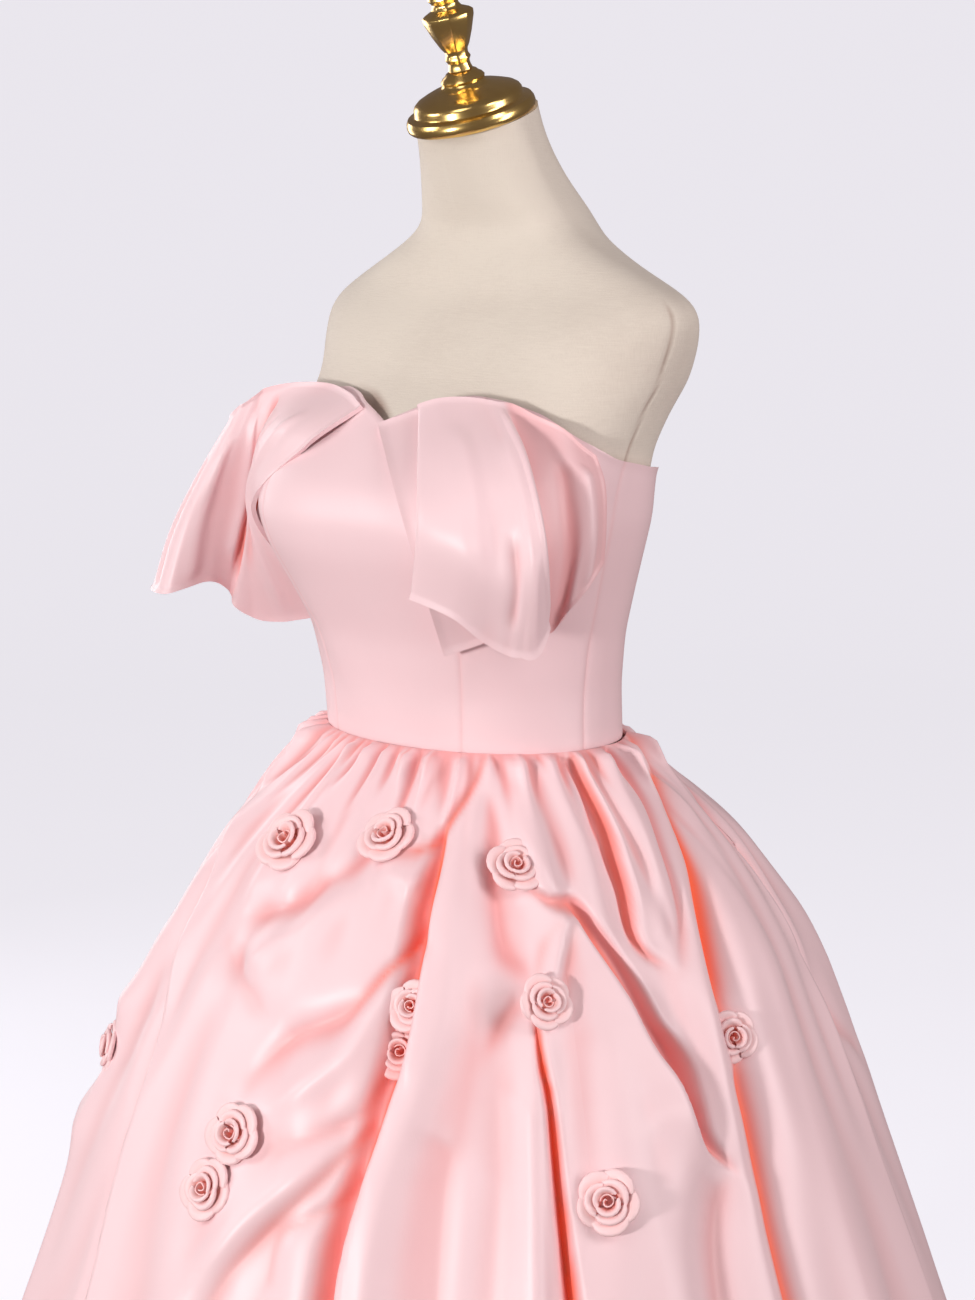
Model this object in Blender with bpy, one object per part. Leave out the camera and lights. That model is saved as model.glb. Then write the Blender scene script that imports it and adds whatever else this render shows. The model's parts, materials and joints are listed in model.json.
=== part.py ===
"""Strapless a-line prom dress on a limbless dress form, in metres, +Z up, front towards -Y."""

import math

import bmesh
import bpy
import numpy as np
from mathutils import Matrix, Vector
from mathutils.bvhtree import BVHTree

for item in list(bpy.data.objects):
    bpy.data.objects.remove(item, do_unlink=True)

# ---------------------------------------------------------------- driving sizes, metres
WAIST_Z = 1.060
HEM_Z = 0.012
SEAM_GAP = 0.0003
BODICE_WALL = 0.0020
BODICE_CLEARANCE = 0.0022
SKIRT_WALL = 0.0032
FLOUNCE_WALL = 0.0011

PRINCESS_SEAM_DEG = 38.0
SIDE_SEAM_DEG = 83.5
ZIP_HALF_WIDTH = 0.0060
SKIRT_FRONT_SEAM_DEG = 58.0
SKIRT_BACK_SEAM_DEG = 122.0

GATHERS = 44
COLUMNS_PER_GATHER = 3
GATHER_DEPTH = 0.0085

POLE_RADIUS = 0.0135
BASE_RADIUS = 0.165
BASE_HEIGHT = 0.014

# Body sections. height, half width, depth to the front, depth to the back,
# centre line (y), squareness of the front and of the back
BODY = (
    (0.900, 0.154, 0.103, 0.110, -0.004, 2.2, 2.1),
    (0.960, 0.146, 0.099, 0.103, -0.004, 2.2, 2.1),
    (1.020, 0.129, 0.094, 0.094, -0.006, 2.1, 2.1),
    (1.060, 0.1205, 0.0915, 0.0865, -0.006, 2.1, 2.1),
    (1.100, 0.1200, 0.0945, 0.0855, -0.006, 2.2, 2.1),
    (1.140, 0.1255, 0.103, 0.086, -0.007, 2.3, 2.1),
    (1.175, 0.135, 0.119, 0.089, -0.008, 2.5, 2.1),
    (1.205, 0.144, 0.133, 0.092, -0.009, 2.7, 2.1),
    (1.230, 0.150, 0.140, 0.096, -0.008, 2.8, 2.1),
    (1.255, 0.151, 0.134, 0.094, -0.005, 2.8, 2.1),
    (1.280, 0.151, 0.120, 0.092, 0.002, 2.7, 2.1),
    (1.305, 0.156, 0.105, 0.090, 0.014, 2.5, 2.1),
    (1.330, 0.165, 0.094, 0.088, 0.028, 2.4, 2.1),
    (1.355, 0.173, 0.086, 0.082, 0.032, 2.3, 2.1),
    (1.375, 0.177, 0.077, 0.073, 0.034, 2.2, 2.0),
    (1.388, 0.170, 0.066, 0.066, 0.034, 2.1, 2.0),
    (1.399, 0.149, 0.059, 0.064, 0.031, 2.0, 2.0),
    (1.411, 0.123, 0.054, 0.066, 0.027, 2.0, 2.0),
    (1.424, 0.096, 0.048, 0.072, 0.025, 2.0, 2.0),
    (1.438, 0.074, 0.043, 0.076, 0.024, 2.0, 2.0),
    (1.452, 0.067, 0.046, 0.074, 0.019, 2.0, 2.0),
    (1.470, 0.058, 0.046, 0.066, 0.012, 2.0, 2.0),
    (1.490, 0.053, 0.047, 0.056, 0.006, 2.0, 2.0),
    (1.510, 0.050, 0.048, 0.050, 0.000, 2.0, 2.0),
    (1.530, 0.048, 0.048, 0.048, -0.005, 2.0, 2.0),
)

# Neckline. degrees round from the front centre, height
NECKLINE = (
    (0.0, 1.3000),
    (9.0, 1.3090),
    (20.0, 1.3170),
    (34.0, 1.3210),
    (45.0, 1.3180),
    (56.0, 1.3100),
    (66.0, 1.2940),
    (80.0, 1.2770),
    (97.0, 1.2680),
    (128.0, 1.2600),
    (180.0, 1.2520),
)

# Skirt bell. drop below the waist, radius
BELL = (
    (0.000, 0.112),
    (0.020, 0.139),
    (0.050, 0.168),
    (0.080, 0.194),
    (0.155, 0.242),
    (0.280, 0.294),
    (0.385, 0.331),
    (0.470, 0.362),
    (0.700, 0.448),
    (1.050, 0.572),
)

# Rows of the skirt mesh, drop below the waist
SKIRT_ROWS = (0.0, 0.014, 0.034, 0.062, 0.100, 0.150, 0.215, 0.290, 0.385, 0.520, 0.760)

# Largest folds of the skirt. first degrees and drop, middle, last, height out (+) or in (-), half width
FOLDS = (
    (45.0, 0.02, 35.0, 0.07, 32.5, 0.17, -0.020, 0.018),
    (32.5, 0.17, 27.6, 0.26, 24.0, 1.05, -0.024, 0.022),
    (44.0, 0.05, 37.0, 0.20, 34.0, 1.05, 0.022, 0.040),
    (53.0, 0.08, 66.0, 0.14, 81.0, 0.28, -0.018, 0.018),
    (52.7, 0.17, 54.2, 0.27, 56.0, 1.05, -0.016, 0.024),
    (112.0, 0.01, 99.0, 0.06, 90.0, 0.15, -0.016, 0.018),
    (90.0, 0.15, 87.3, 0.26, 86.0, 1.05, -0.024, 0.024),
    (71.0, 0.20, 70.0, 0.40, 70.0, 1.05, 0.020, 0.050),
    (7.0, 0.21, 20.0, 0.17, 34.0, 0.11, -0.014, 0.018),
    (12.0, 0.22, 21.0, 0.17, 31.0, 0.14, 0.010, 0.016),
    (-10.0, 0.113, 4.0, 0.10, 18.0, 0.06, -0.010, 0.018),
    (7.0, 0.36, 19.0, 0.28, 28.0, 0.22, -0.014, 0.020),
    (12.0, 0.40, 20.0, 0.31, 27.0, 0.27, 0.012, 0.020),
    (-24.0, 0.13, -18.0, 0.25, -14.0, 1.05, -0.018, 0.022),
    (-31.0, 0.10, -28.0, 0.30, -26.0, 1.05, 0.022, 0.042),
    (-47.0, 0.22, -51.0, 0.32, -49.0, 1.05, -0.018, 0.026),
    (6.0, 0.45, 4.0, 0.60, 4.0, 1.05, 0.016, 0.050),
    (-66.0, 0.06, -72.0, 0.20, -74.0, 1.05, -0.022, 0.026),
    (-86.0, 0.10, -92.0, 0.30, -94.0, 1.05, 0.020, 0.046),
    (-118.0, 0.05, -112.0, 0.20, -114.0, 1.05, -0.024, 0.026),
    (-136.0, 0.10, -138.0, 0.30, -136.0, 1.05, 0.018, 0.044),
    (-160.0, 0.04, -158.0, 0.18, -160.0, 1.05, -0.020, 0.026),
    (-178.0, 0.12, -176.0, 0.34, -178.0, 1.05, 0.016, 0.044),
    (162.0, 0.05, 158.0, 0.20, 160.0, 1.05, -0.022, 0.026),
    (142.0, 0.10, 140.0, 0.30, 141.0, 1.05, 0.018, 0.044),
    (122.0, 0.08, 120.0, 0.26, 118.0, 1.05, -0.022, 0.026),
    (104.0, 0.20, 102.0, 0.40, 102.0, 1.05, 0.016, 0.040),
)

# Rosettes. degrees, drop below the waist, radius
ROSETTES = (
    (-7.2, 0.067, 0.0225),
    (19.2, 0.053, 0.0200),
    (50.6, 0.068, 0.0185),
    (-37.5, 0.243, 0.0190),
    (31.9, 0.155, 0.0170),
    (29.6, 0.186, 0.0180),
    (53.2, 0.152, 0.0175),
    (88.0, 0.194, 0.0175),
    (5.6, 0.252, 0.0200),
    (3.0, 0.291, 0.0200),
    (60.6, 0.281, 0.0200),
    (-80.0, 0.150, 0.0195),
    (-106.0, 0.110, 0.0200),
    (-98.0, 0.262, 0.0190),
    (-134.0, 0.090, 0.0200),
    (168.0, 0.120, 0.0195),
    (163.0, 0.262, 0.0190),
    (-156.0, 0.190, 0.0200),
    (-26.0, 0.500, 0.0200),
    (43.0, 0.470, 0.0200),
)

# Flounce fold lines from the cleft round to the side. Each line runs through four points, from
# neckline to hem, and each point is: degrees round, distance out from the bodice, height
FLOUNCE_LEFT = (
    (0.0, 0.0026, 1.298, 21.0, 0.009, 1.257, 29.5, 0.010, 1.200, 34.0, 0.010, 1.137),
    (26.0, 0.0045, 1.317, 37.0, 0.009, 1.262, 43.5, 0.012, 1.209, 48.0, 0.014, 1.152),
    (25.0, 0.0110, 1.317, 36.0, 0.018, 1.266, 42.5, 0.022, 1.214, 46.5, 0.024, 1.161),
    (16.0, 0.0150, 1.313, 27.0, 0.026, 1.277, 31.0, 0.031, 1.237, 28.5, 0.034, 1.183),
    (22.5, 0.0215, 1.318, 36.5, 0.034, 1.274, 41.0, 0.040, 1.226, 38.5, 0.046, 1.173),
    (30.0, 0.0200, 1.320, 45.0, 0.034, 1.269, 48.0, 0.046, 1.209, 46.5, 0.050, 1.153),
    (37.5, 0.0150, 1.319, 50.0, 0.036, 1.270, 53.5, 0.054, 1.210, 53.5, 0.058, 1.145),
    (43.0, 0.0120, 1.317, 52.0, 0.034, 1.281, 56.0, 0.050, 1.231, 59.0, 0.052, 1.165),
    (47.0, 0.0070, 1.316, 54.0, 0.018, 1.268, 56.0, 0.026, 1.224, 56.5, 0.030, 1.176),
    (54.0, 0.0040, 1.309, 61.0, 0.012, 1.267, 64.0, 0.018, 1.218, 63.0, 0.024, 1.157),
    (61.0, 0.0040, 1.301, 66.0, 0.014, 1.267, 68.5, 0.022, 1.225, 67.5, 0.028, 1.177),
    (67.0, 0.0022, 1.289, 71.5, 0.012, 1.264, 73.0, 0.018, 1.231, 73.5, 0.022, 1.197),
    (72.0, 0.0016, 1.281, 75.0, 0.009, 1.261, 76.5, 0.012, 1.233, 77.5, 0.014, 1.205),
)
FLOUNCE_RIGHT = (
    (-11.0, 0.0022, 1.309, -24.0, 0.012, 1.281, -50.0, 0.011, 1.224, -86.0, 0.028, 1.137),
    (-22.0, 0.0040, 1.316, -34.0, 0.018, 1.284, -56.0, 0.017, 1.229, -82.0, 0.044, 1.129),
    (-38.0, 0.008, 1.321, -46.0, 0.018, 1.285, -62.0, 0.018, 1.228, -77.0, 0.066, 1.127),
    (-48.0, 0.020, 1.321, -55.0, 0.017, 1.283, -65.0, 0.024, 1.227, -73.0, 0.080, 1.138),
    (-56.0, 0.036, 1.315, -61.0, 0.020, 1.275, -68.0, 0.030, 1.222, -72.0, 0.081, 1.152),
    (-57.0, 0.041, 1.308, -60.0, 0.034, 1.267, -64.0, 0.049, 1.219, -66.0, 0.084, 1.162),
    (-58.0, 0.046, 1.300, -60.0, 0.050, 1.252, -61.0, 0.078, 1.204, -60.0, 0.113, 1.154),
    (-63.0, 0.048, 1.290, -66.0, 0.066, 1.246, -68.0, 0.102, 1.200, -68.0, 0.136, 1.154),
    (-75.0, 0.024, 1.286, -79.0, 0.054, 1.244, -83.0, 0.088, 1.201, -84.0, 0.114, 1.158),
    (-88.0, 0.004, 1.272, -94.0, 0.020, 1.240, -98.0, 0.038, 1.202, -99.0, 0.050, 1.166),
)
FLOUNCE_STEPS_ACROSS = 4
FLOUNCE_STEPS_DOWN = 7


# ---------------------------------------------------------------- helpers
def new_collection(name):
    collection = bpy.data.collections.new(name)
    bpy.context.scene.collection.children.link(collection)
    return collection


PART = new_collection("prom_dress")


def material(name, colour, roughness, metallic=0.0):
    made = bpy.data.materials.new(name)
    made.use_nodes = True
    shader = made.node_tree.nodes["Principled BSDF"]
    shader.inputs["Base Color"].default_value = (*colour, 1.0)
    shader.inputs["Roughness"].default_value = roughness
    shader.inputs["Metallic"].default_value = metallic
    return made


def add_solid(name, vertices, faces, colour, roughness=0.45, metallic=0.0):
    mesh = bpy.data.meshes.new(name)
    mesh.from_pydata([tuple(v) for v in vertices], [], [tuple(f) for f in faces])
    work = bmesh.new()
    work.from_mesh(mesh)
    bmesh.ops.remove_doubles(work, verts=work.verts, dist=1e-7)
    bmesh.ops.triangulate(work, faces=work.faces)
    bmesh.ops.recalc_face_normals(work, faces=work.faces)
    if work.calc_volume(signed=True) < 0:
        bmesh.ops.reverse_faces(work, faces=work.faces)
    work.to_mesh(mesh)
    work.free()
    mesh.materials.append(material(name, colour, roughness, metallic))
    made = bpy.data.objects.new(name, mesh)
    PART.objects.link(made)
    return made


def smooth(value):
    value = min(1.0, max(0.0, value))
    return value * value * (3.0 - 2.0 * value)


def column(table, index):
    return [row[index] for row in table]


def body_section(height):
    heights = column(BODY, 0)
    return [float(np.interp(height, heights, column(BODY, k))) for k in range(1, 7)]


def body_point(degrees, height, out):
    """A point on the body section at this height, moved outward along its radius."""
    half, front, back, centre, front_power, back_power = body_section(height)
    s = math.sin(math.radians(degrees))
    c = math.cos(math.radians(degrees))
    depth = front if c > 0 else back
    power = front_power if c > 0 else back_power
    radius = (abs(s / half) ** power + abs(c / depth) ** power) ** (-1.0 / power) + out
    return Vector((radius * s, centre - radius * c, height))


def neckline(degrees):
    turned = abs((degrees + 180.0) % 360.0 - 180.0)
    return float(np.interp(turned, column(NECKLINE, 0), column(NECKLINE, 1)))


def wall(outer, inner, ring):
    """Close two matching grids of points, rows from bottom to top, into one wall."""
    rows = len(outer)
    cols = len(outer[0])
    vertices = [p for row in outer for p in row] + [p for row in inner for p in row]
    shift = rows * cols
    faces = []
    spans = cols if ring else cols - 1
    for i in range(rows - 1):
        for j in range(spans):
            a = i * cols + j
            b = i * cols + (j + 1) % cols
            faces.append((a, b, b + cols))
            faces.append((a, b + cols, a + cols))
            faces.append((shift + a, shift + b + cols, shift + b))
            faces.append((shift + a, shift + a + cols, shift + b + cols))
    for j in range(spans):
        k = (j + 1) % cols
        faces.append((j, shift + j, shift + k, k))
        top = (rows - 1) * cols
        faces.append((top + j, top + k, shift + top + k, shift + top + j))
    if not ring:
        for i in range(rows - 1):
            a = i * cols
            faces.append((a, a + cols, shift + a + cols, shift + a))
            b = i * cols + cols - 1
            faces.append((b, shift + b, shift + b + cols, b + cols))
    return vertices, faces


def lathe(profile, segments, start=0.0):
    """Vertices and faces of a turned solid from (radius, height) rows, closed at both ends."""
    vertices = []
    faces = []
    for radius, height in profile:
        for k in range(segments):
            angle = start + 2.0 * math.pi * k / segments
            vertices.append(Vector((radius * math.cos(angle), radius * math.sin(angle), height)))
    for i in range(len(profile) - 1):
        for k in range(segments):
            m = (k + 1) % segments
            a = i * segments
            faces.append((a + k, a + m, a + segments + m, a + segments + k))
    faces.append(tuple(range(segments - 1, -1, -1)))
    last = (len(profile) - 1) * segments
    faces.append(tuple(last + k for k in range(segments)))
    return vertices, faces


# ---------------------------------------------------------------- bodice
SATIN = (0.93, 0.66, 0.67)
BODICE_ROWS = 12


def bodice_panel(name, first, last, gap_first, gap_last, columns, colour=SATIN):
    """A fitted panel between two seams, its edges half a seam gap off each seam line."""
    outer = []
    inner = []
    for i in range(BODICE_ROWS):
        outer_row = []
        inner_row = []
        for j in range(columns + 1):
            turn = first + (last - first) * j / columns
            top = neckline(turn)
            height = WAIST_Z + (top - WAIST_Z) * i / (BODICE_ROWS - 1)
            radius = math.hypot(*body_point(turn, height, 0.0).xy)
            nudge = 0.0
            if j == 0:
                nudge = math.degrees(gap_first / radius)
            if j == columns:
                nudge = -math.degrees(gap_last / radius)
            outer_row.append(body_point(turn + nudge, height, BODICE_CLEARANCE + BODICE_WALL))
            inner_row.append(body_point(turn + nudge, height, BODICE_CLEARANCE))
        outer.append(outer_row)
        inner.append(inner_row)
    vertices, faces = wall(outer, inner, ring=False)
    return add_solid(name, vertices, faces, colour)


half_gap = SEAM_GAP / 2.0
zip_edge = ZIP_HALF_WIDTH + SEAM_GAP
princess = PRINCESS_SEAM_DEG
side_seam = SIDE_SEAM_DEG
bodice_panel("bodice_front_centre", -princess, princess, half_gap, half_gap, 14)
bodice_panel("bodice_front_left", princess, side_seam, half_gap, half_gap, 9)
bodice_panel("bodice_front_right", -side_seam, -princess, half_gap, half_gap, 9)
bodice_panel("bodice_back_left", side_seam, 180.0, half_gap, zip_edge, 8)
bodice_panel("bodice_back_right", -180.0, -side_seam, zip_edge, half_gap, 8)
bodice_panel("back_zip", 177.3, 182.7, 0.0, 0.0, 2, (0.86, 0.55, 0.57))


# ---------------------------------------------------------------- flounces
def catmull(points, t):
    """Point at t in rows counted from the first, on a smooth curve through the rows."""
    k = min(int(t), len(points) - 2)
    f = t - k
    p1 = np.array(points[k])
    p2 = np.array(points[k + 1])
    p0 = np.array(points[k - 1]) if k > 0 else 2 * p1 - p2
    p3 = np.array(points[k + 2]) if k + 2 < len(points) else 2 * p2 - p1
    span = np.linalg.norm(p2 - p1)
    slope1 = (p2 - p0) * span / (span + np.linalg.norm(p1 - p0))
    slope2 = (p3 - p1) * span / (span + np.linalg.norm(p3 - p2))
    h1 = 2 * f ** 3 - 3 * f ** 2 + 1
    h2 = -2 * f ** 3 + 3 * f ** 2
    h3 = f ** 3 - 2 * f ** 2 + f
    h4 = f ** 3 - f ** 2
    return h1 * p1 + h2 * p2 + h3 * slope1 + h4 * slope2


def flounce(name, table):
    """A folded hanging sheet through fold lines that run from neckline to hem."""
    lines = []
    for row in table:
        out = BODICE_CLEARANCE + BODICE_WALL
        line = [body_point(row[k], row[k + 2], out + row[k + 1]) for k in (0, 3, 6, 9)]
        lines.append(line)
    count = (len(table) - 1) * FLOUNCE_STEPS_ACROSS
    grid = []
    for i in range(FLOUNCE_STEPS_DOWN + 1):
        t = 3.0 * i / FLOUNCE_STEPS_DOWN
        level = [catmull(line, t) for line in lines]
        grid.append([catmull(level, j / FLOUNCE_STEPS_ACROSS) for j in range(count + 1)])
    points = np.array(grid)
    across = np.gradient(points, axis=1)
    down = np.gradient(points, axis=0)
    normal = np.cross(across, down)
    normal /= np.linalg.norm(normal, axis=2, keepdims=True)
    outer = points + normal * FLOUNCE_WALL * 0.5
    inner = points - normal * FLOUNCE_WALL * 0.5
    vertices, faces = wall(outer.tolist(), inner.tolist(), ring=False)
    return add_solid(name, vertices, faces, SATIN)


flounce("flounce_left", FLOUNCE_LEFT)
flounce("flounce_right", FLOUNCE_RIGHT)


# ---------------------------------------------------------------- skirt
def distance_to_line(x, y, path):
    """Least distance to a broken line, and how far along it (0 to 1) the nearest point lies."""
    best = (9.0, 0.0)
    count = len(path) - 1
    for k in range(count):
        ax, ay = path[k]
        bx, by = path[k + 1]
        dx = bx - ax
        dy = by - ay
        t = ((x - ax) * dx + (y - ay) * dy) / (dx * dx + dy * dy)
        t = min(1.0, max(0.0, t))
        gap = math.hypot(x - ax - t * dx, y - ay - t * dy)
        if gap < best[0]:
            best = (gap, (k + t) / count)
    return best


def bell_radius(drop):
    return float(np.interp(drop, column(BELL, 0), column(BELL, 1)))


def skirt_radius(degrees, drop):
    """Distance of the skirt's face from the axis: bell, gathers at the waist, then folds."""
    waist = math.hypot(*body_point(degrees, WAIST_Z, BODICE_CLEARANCE + BODICE_WALL).xy)
    bell = bell_radius(drop)
    mix = smooth(drop / 0.10)
    radius = (waist + bell_radius(drop) - BELL[0][1]) * (1.0 - mix) + bell * mix
    phase = math.radians(degrees) * GATHERS + 1.3 * math.sin(math.radians(3.0 * degrees))
    fade = smooth(drop / 0.02) * (1.0 - smooth((drop - 0.02) / 0.13))
    radius += GATHER_DEPTH * 0.5 * math.sin(phase) * fade
    for d1, h1, d2, h2, d3, h3, height, width in FOLDS:
        scale = math.radians(1.0) * bell
        path = []
        for d, h in ((d1, h1), (d2, h2), (d3, h3)):
            turn = (d - degrees + 180.0) % 360.0 - 180.0
            path.append((turn * scale, h))
        gap, along = distance_to_line(0.0, drop, path)
        if gap < 2.6 * width:
            ends = smooth(along / 0.18)
            if h3 < 1.0:
                ends *= smooth((1.0 - along) / 0.18)
            radius += height * ends * math.exp(-((gap / width) ** 2)) * smooth(drop / 0.05)
    return radius


def skirt_point(degrees, drop, out=0.0):
    radius = skirt_radius(degrees, drop) + out
    angle = math.radians(degrees)
    return Vector((radius * math.sin(angle), -radius * math.cos(angle), WAIST_Z - SEAM_GAP - drop))


def skirt_rows():
    return list(SKIRT_ROWS) + [WAIST_Z - SEAM_GAP - HEM_Z]


def skirt_panel(name, first, last):
    step = 360.0 / (GATHERS * COLUMNS_PER_GATHER)
    columns = max(2, round((last - first) / step))
    outer = []
    inner = []
    for drop in reversed(skirt_rows()):
        outer_row = []
        inner_row = []
        for j in range(columns + 1):
            turn = first + (last - first) * j / columns
            nudge = 0.0
            if j == 0:
                nudge = math.degrees(half_gap / skirt_radius(turn, drop))
            if j == columns:
                nudge = -math.degrees(half_gap / skirt_radius(turn, drop))
            outer_row.append(skirt_point(turn + nudge, drop))
            inner_row.append(skirt_point(turn + nudge, drop, -SKIRT_WALL))
        outer.append(outer_row)
        inner.append(inner_row)
    vertices, faces = wall(outer, inner, ring=False)
    return add_solid(name, vertices, faces, SATIN)


front_seam = SKIRT_FRONT_SEAM_DEG
back_seam = SKIRT_BACK_SEAM_DEG
skirt_panel("skirt_front", -front_seam, front_seam)
skirt_panel("skirt_side_left", front_seam, back_seam)
skirt_panel("skirt_back_left", back_seam, 180.0)
skirt_panel("skirt_back_right", 180.0, 360.0 - back_seam)
skirt_panel("skirt_side_right", 360.0 - back_seam, 360.0 - front_seam)


# ---------------------------------------------------------------- rosettes
ROSE_RINGS = ((0.20, 0.60), (0.50, 0.48), (0.80, 0.34), (1.00, 0.16))
ROSE_SIDES = 15
ROSE_CLEARANCE = 0.0006


def skirt_tree():
    """A search tree over the faces of the skirt panels."""
    vertices = []
    polygons = []
    for panel in [o for o in PART.objects if o.name.startswith("skirt_")]:
        start = len(vertices)
        vertices += [v.co.copy() for v in panel.data.vertices]
        polygons += [tuple(start + k for k in face.vertices) for face in panel.data.polygons]
    return BVHTree.FromPolygons(vertices, polygons)


SKIRT_TREE = skirt_tree()


def skirt_face(degrees, height):
    """The point where a level line from outside meets the skirt."""
    angle = math.radians(degrees)
    outward = Vector((math.sin(angle), -math.cos(angle), 0.0))
    start = outward * 0.9 + Vector((0.0, 0.0, height))
    return SKIRT_TREE.ray_cast(start, -outward)[0]


def rosette(name, degrees, drop, size):
    """A domed rose: a raised bud and two rounds of five petals, on a flat back."""
    height = WAIST_Z - drop
    here = skirt_face(degrees, height)
    spread = math.degrees(size * 0.7 / here.xy.length)
    across = skirt_face(degrees + spread, height) - skirt_face(degrees - spread, height)
    down = skirt_face(degrees, height - size * 0.7) - skirt_face(degrees, height + size * 0.7)
    normal = down.cross(across).normalized()
    if normal.dot(Vector((here.x, here.y, 0.0))) < 0:
        normal = -normal
    side = across.normalized()
    up = normal.cross(side).normalized()
    vertices = [here + normal * size * 0.50]
    faces = []
    for r, (reach, rise) in enumerate(ROSE_RINGS):
        for k in range(ROSE_SIDES):
            angle = 2.0 * math.pi * k / ROSE_SIDES + 0.5 * r
            petal = 1.0 + 0.10 * math.cos(5.0 * angle + 1.5 * r) * reach
            radius = size * reach * petal * 0.92
            rise_here = size * rise + size * 0.05 * math.cos(5.0 * angle + 1.5 * r)
            offset = (side * math.cos(angle) + up * math.sin(angle)) * radius
            vertices.append(here + offset + normal * rise_here)
    back = len(vertices)
    for k in range(ROSE_SIDES):
        angle = 2.0 * math.pi * k / ROSE_SIDES + 2.0
        offset = (side * math.cos(angle) + up * math.sin(angle)) * size * 0.62
        vertices.append(here + offset)
    probes = vertices[1:]
    for k in range(ROSE_SIDES):
        for share in (0.0, 0.15, 0.3, 0.45, 0.6, 0.75, 0.9):
            probes.append(here.lerp(vertices[back + k], share))
            probes.append(vertices[back - ROSE_SIDES + k].lerp(vertices[back + k - 5], share))
    lift = -1.0
    for probe in probes:
        face = SKIRT_TREE.ray_cast(probe + normal * 0.05, -normal, 0.12)[0]
        if face is not None:
            lift = max(lift, (face - probe).dot(normal))
    vertices = [v + normal * (lift + ROSE_CLEARANCE) for v in vertices]
    for k in range(ROSE_SIDES):
        m = (k + 1) % ROSE_SIDES
        faces.append((0, 1 + k, 1 + m))
        for r in range(len(ROSE_RINGS)):
            a = 1 + r * ROSE_SIDES
            b = a + ROSE_SIDES
            faces.append((a + k, b + k, b + m, a + m))
    faces.append(tuple(back + ROSE_SIDES - 1 - k for k in range(ROSE_SIDES)))
    return add_solid(name, vertices, faces, (0.96, 0.72, 0.70))


for number, (degrees, drop, size) in enumerate(ROSETTES, start=1):
    rosette("rosette_%02d" % number, degrees, drop, size)


# ---------------------------------------------------------------- dress form
LINEN = (0.80, 0.74, 0.66)
GOLD = (0.83, 0.60, 0.20)
FORM_COLUMNS = 32
FORM_INSET = 0.0014
NECK_TILT_DEG = 19.5
NECK_TOP = Vector((0.0, -0.008, 1.518))


def cut(work, point, direction):
    """Cut away what lies beyond a plane, and close the cut."""
    geometry = work.verts[:] + work.edges[:] + work.faces[:]
    done = bmesh.ops.bisect_plane(
        work, geom=geometry, plane_co=point, plane_no=direction, clear_outer=True, dist=1e-6
    )
    edges = [g for g in done["geom_cut"] if isinstance(g, bmesh.types.BMEdge)]
    bmesh.ops.contextual_create(work, geom=edges)


def neck_axis():
    tilt = math.radians(NECK_TILT_DEG)
    return Vector((0.0, -math.sin(tilt), math.cos(tilt)))


def form_point(angle, height):
    """A point of the form's covered body, drawn in a little from the sections."""
    half, front, back, centre, front_power, back_power = body_section(height)
    s = math.sin(angle)
    c = math.cos(angle)
    depth = front if c > 0 else back
    power = front_power if c > 0 else back_power
    x = (half - FORM_INSET) * math.copysign(abs(s) ** (2.0 / power), s)
    y = (depth - FORM_INSET) * math.copysign(abs(c) ** (2.0 / power), c)
    return Vector((x, centre - y, height))


heights = [row[0] for row in BODY] + [1.552]
grid = []
for height in heights:
    ring = []
    for k in range(FORM_COLUMNS):
        ring.append(form_point(2.0 * math.pi * k / FORM_COLUMNS, height))
    grid.append(ring)
form_vertices = [p for ring in grid for p in ring]
form_faces = []
for i in range(len(grid) - 1):
    for k in range(FORM_COLUMNS):
        m = (k + 1) % FORM_COLUMNS
        a = i * FORM_COLUMNS
        form_faces.append((a + k, a + m, a + FORM_COLUMNS + m, a + FORM_COLUMNS + k))
form_faces.append(tuple(range(FORM_COLUMNS - 1, -1, -1)))
last = (len(grid) - 1) * FORM_COLUMNS
form_faces.append(tuple(last + k for k in range(FORM_COLUMNS)))

form_mesh = bpy.data.meshes.new("form_torso")
form_mesh.from_pydata([tuple(v) for v in form_vertices], [], form_faces)
form = bmesh.new()
form.from_mesh(form_mesh)
bmesh.ops.recalc_face_normals(form, faces=form.faces)
cut(form, NECK_TOP, neck_axis())
bmesh.ops.triangulate(form, faces=form.faces)
form.to_mesh(form_mesh)
form.free()
form_mesh.materials.append(material("form_torso", LINEN, 0.9))
PART.objects.link(bpy.data.objects.new("form_torso", form_mesh))

# Neck cap and finial, turned about the leaning neck. radius, height above the neck's top
CAP_PROFILE = (
    (0.0470, 0.0005),
    (0.0485, 0.0030),
    (0.0485, 0.0075),
    (0.0470, 0.0100),
    (0.0415, 0.0120),
    (0.0405, 0.0170),
    (0.0380, 0.0200),
    (0.0270, 0.0245),
    (0.0170, 0.0275),
    (0.0150, 0.0330),
    (0.0125, 0.0360),
    (0.0100, 0.0378),
)
FINIAL_PROFILE = (
    (0.0095, 0.0381),
    (0.0085, 0.0440),
    (0.0100, 0.0470),
    (0.0085, 0.0500),
    (0.0110, 0.0560),
    (0.0190, 0.0760),
    (0.0195, 0.0800),
    (0.0120, 0.0840),
    (0.0100, 0.0890),
    (0.0125, 0.0920),
    (0.0090, 0.1010),
    (0.0070, 0.1250),
    (0.0100, 0.1300),
    (0.0125, 0.1400),
    (0.0100, 0.1500),
    (0.0030, 0.1620),
)
lean = Matrix.Translation(NECK_TOP) @ Matrix.Rotation(math.radians(NECK_TILT_DEG), 4, "X")
for name, profile, segments in (("neck_cap", CAP_PROFILE, 24), ("neck_finial", FINIAL_PROFILE, 8)):
    vertices, faces = lathe(profile, segments)
    add_solid(name, [lean @ v for v in vertices], faces, GOLD, 0.18, 1.0)

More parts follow.
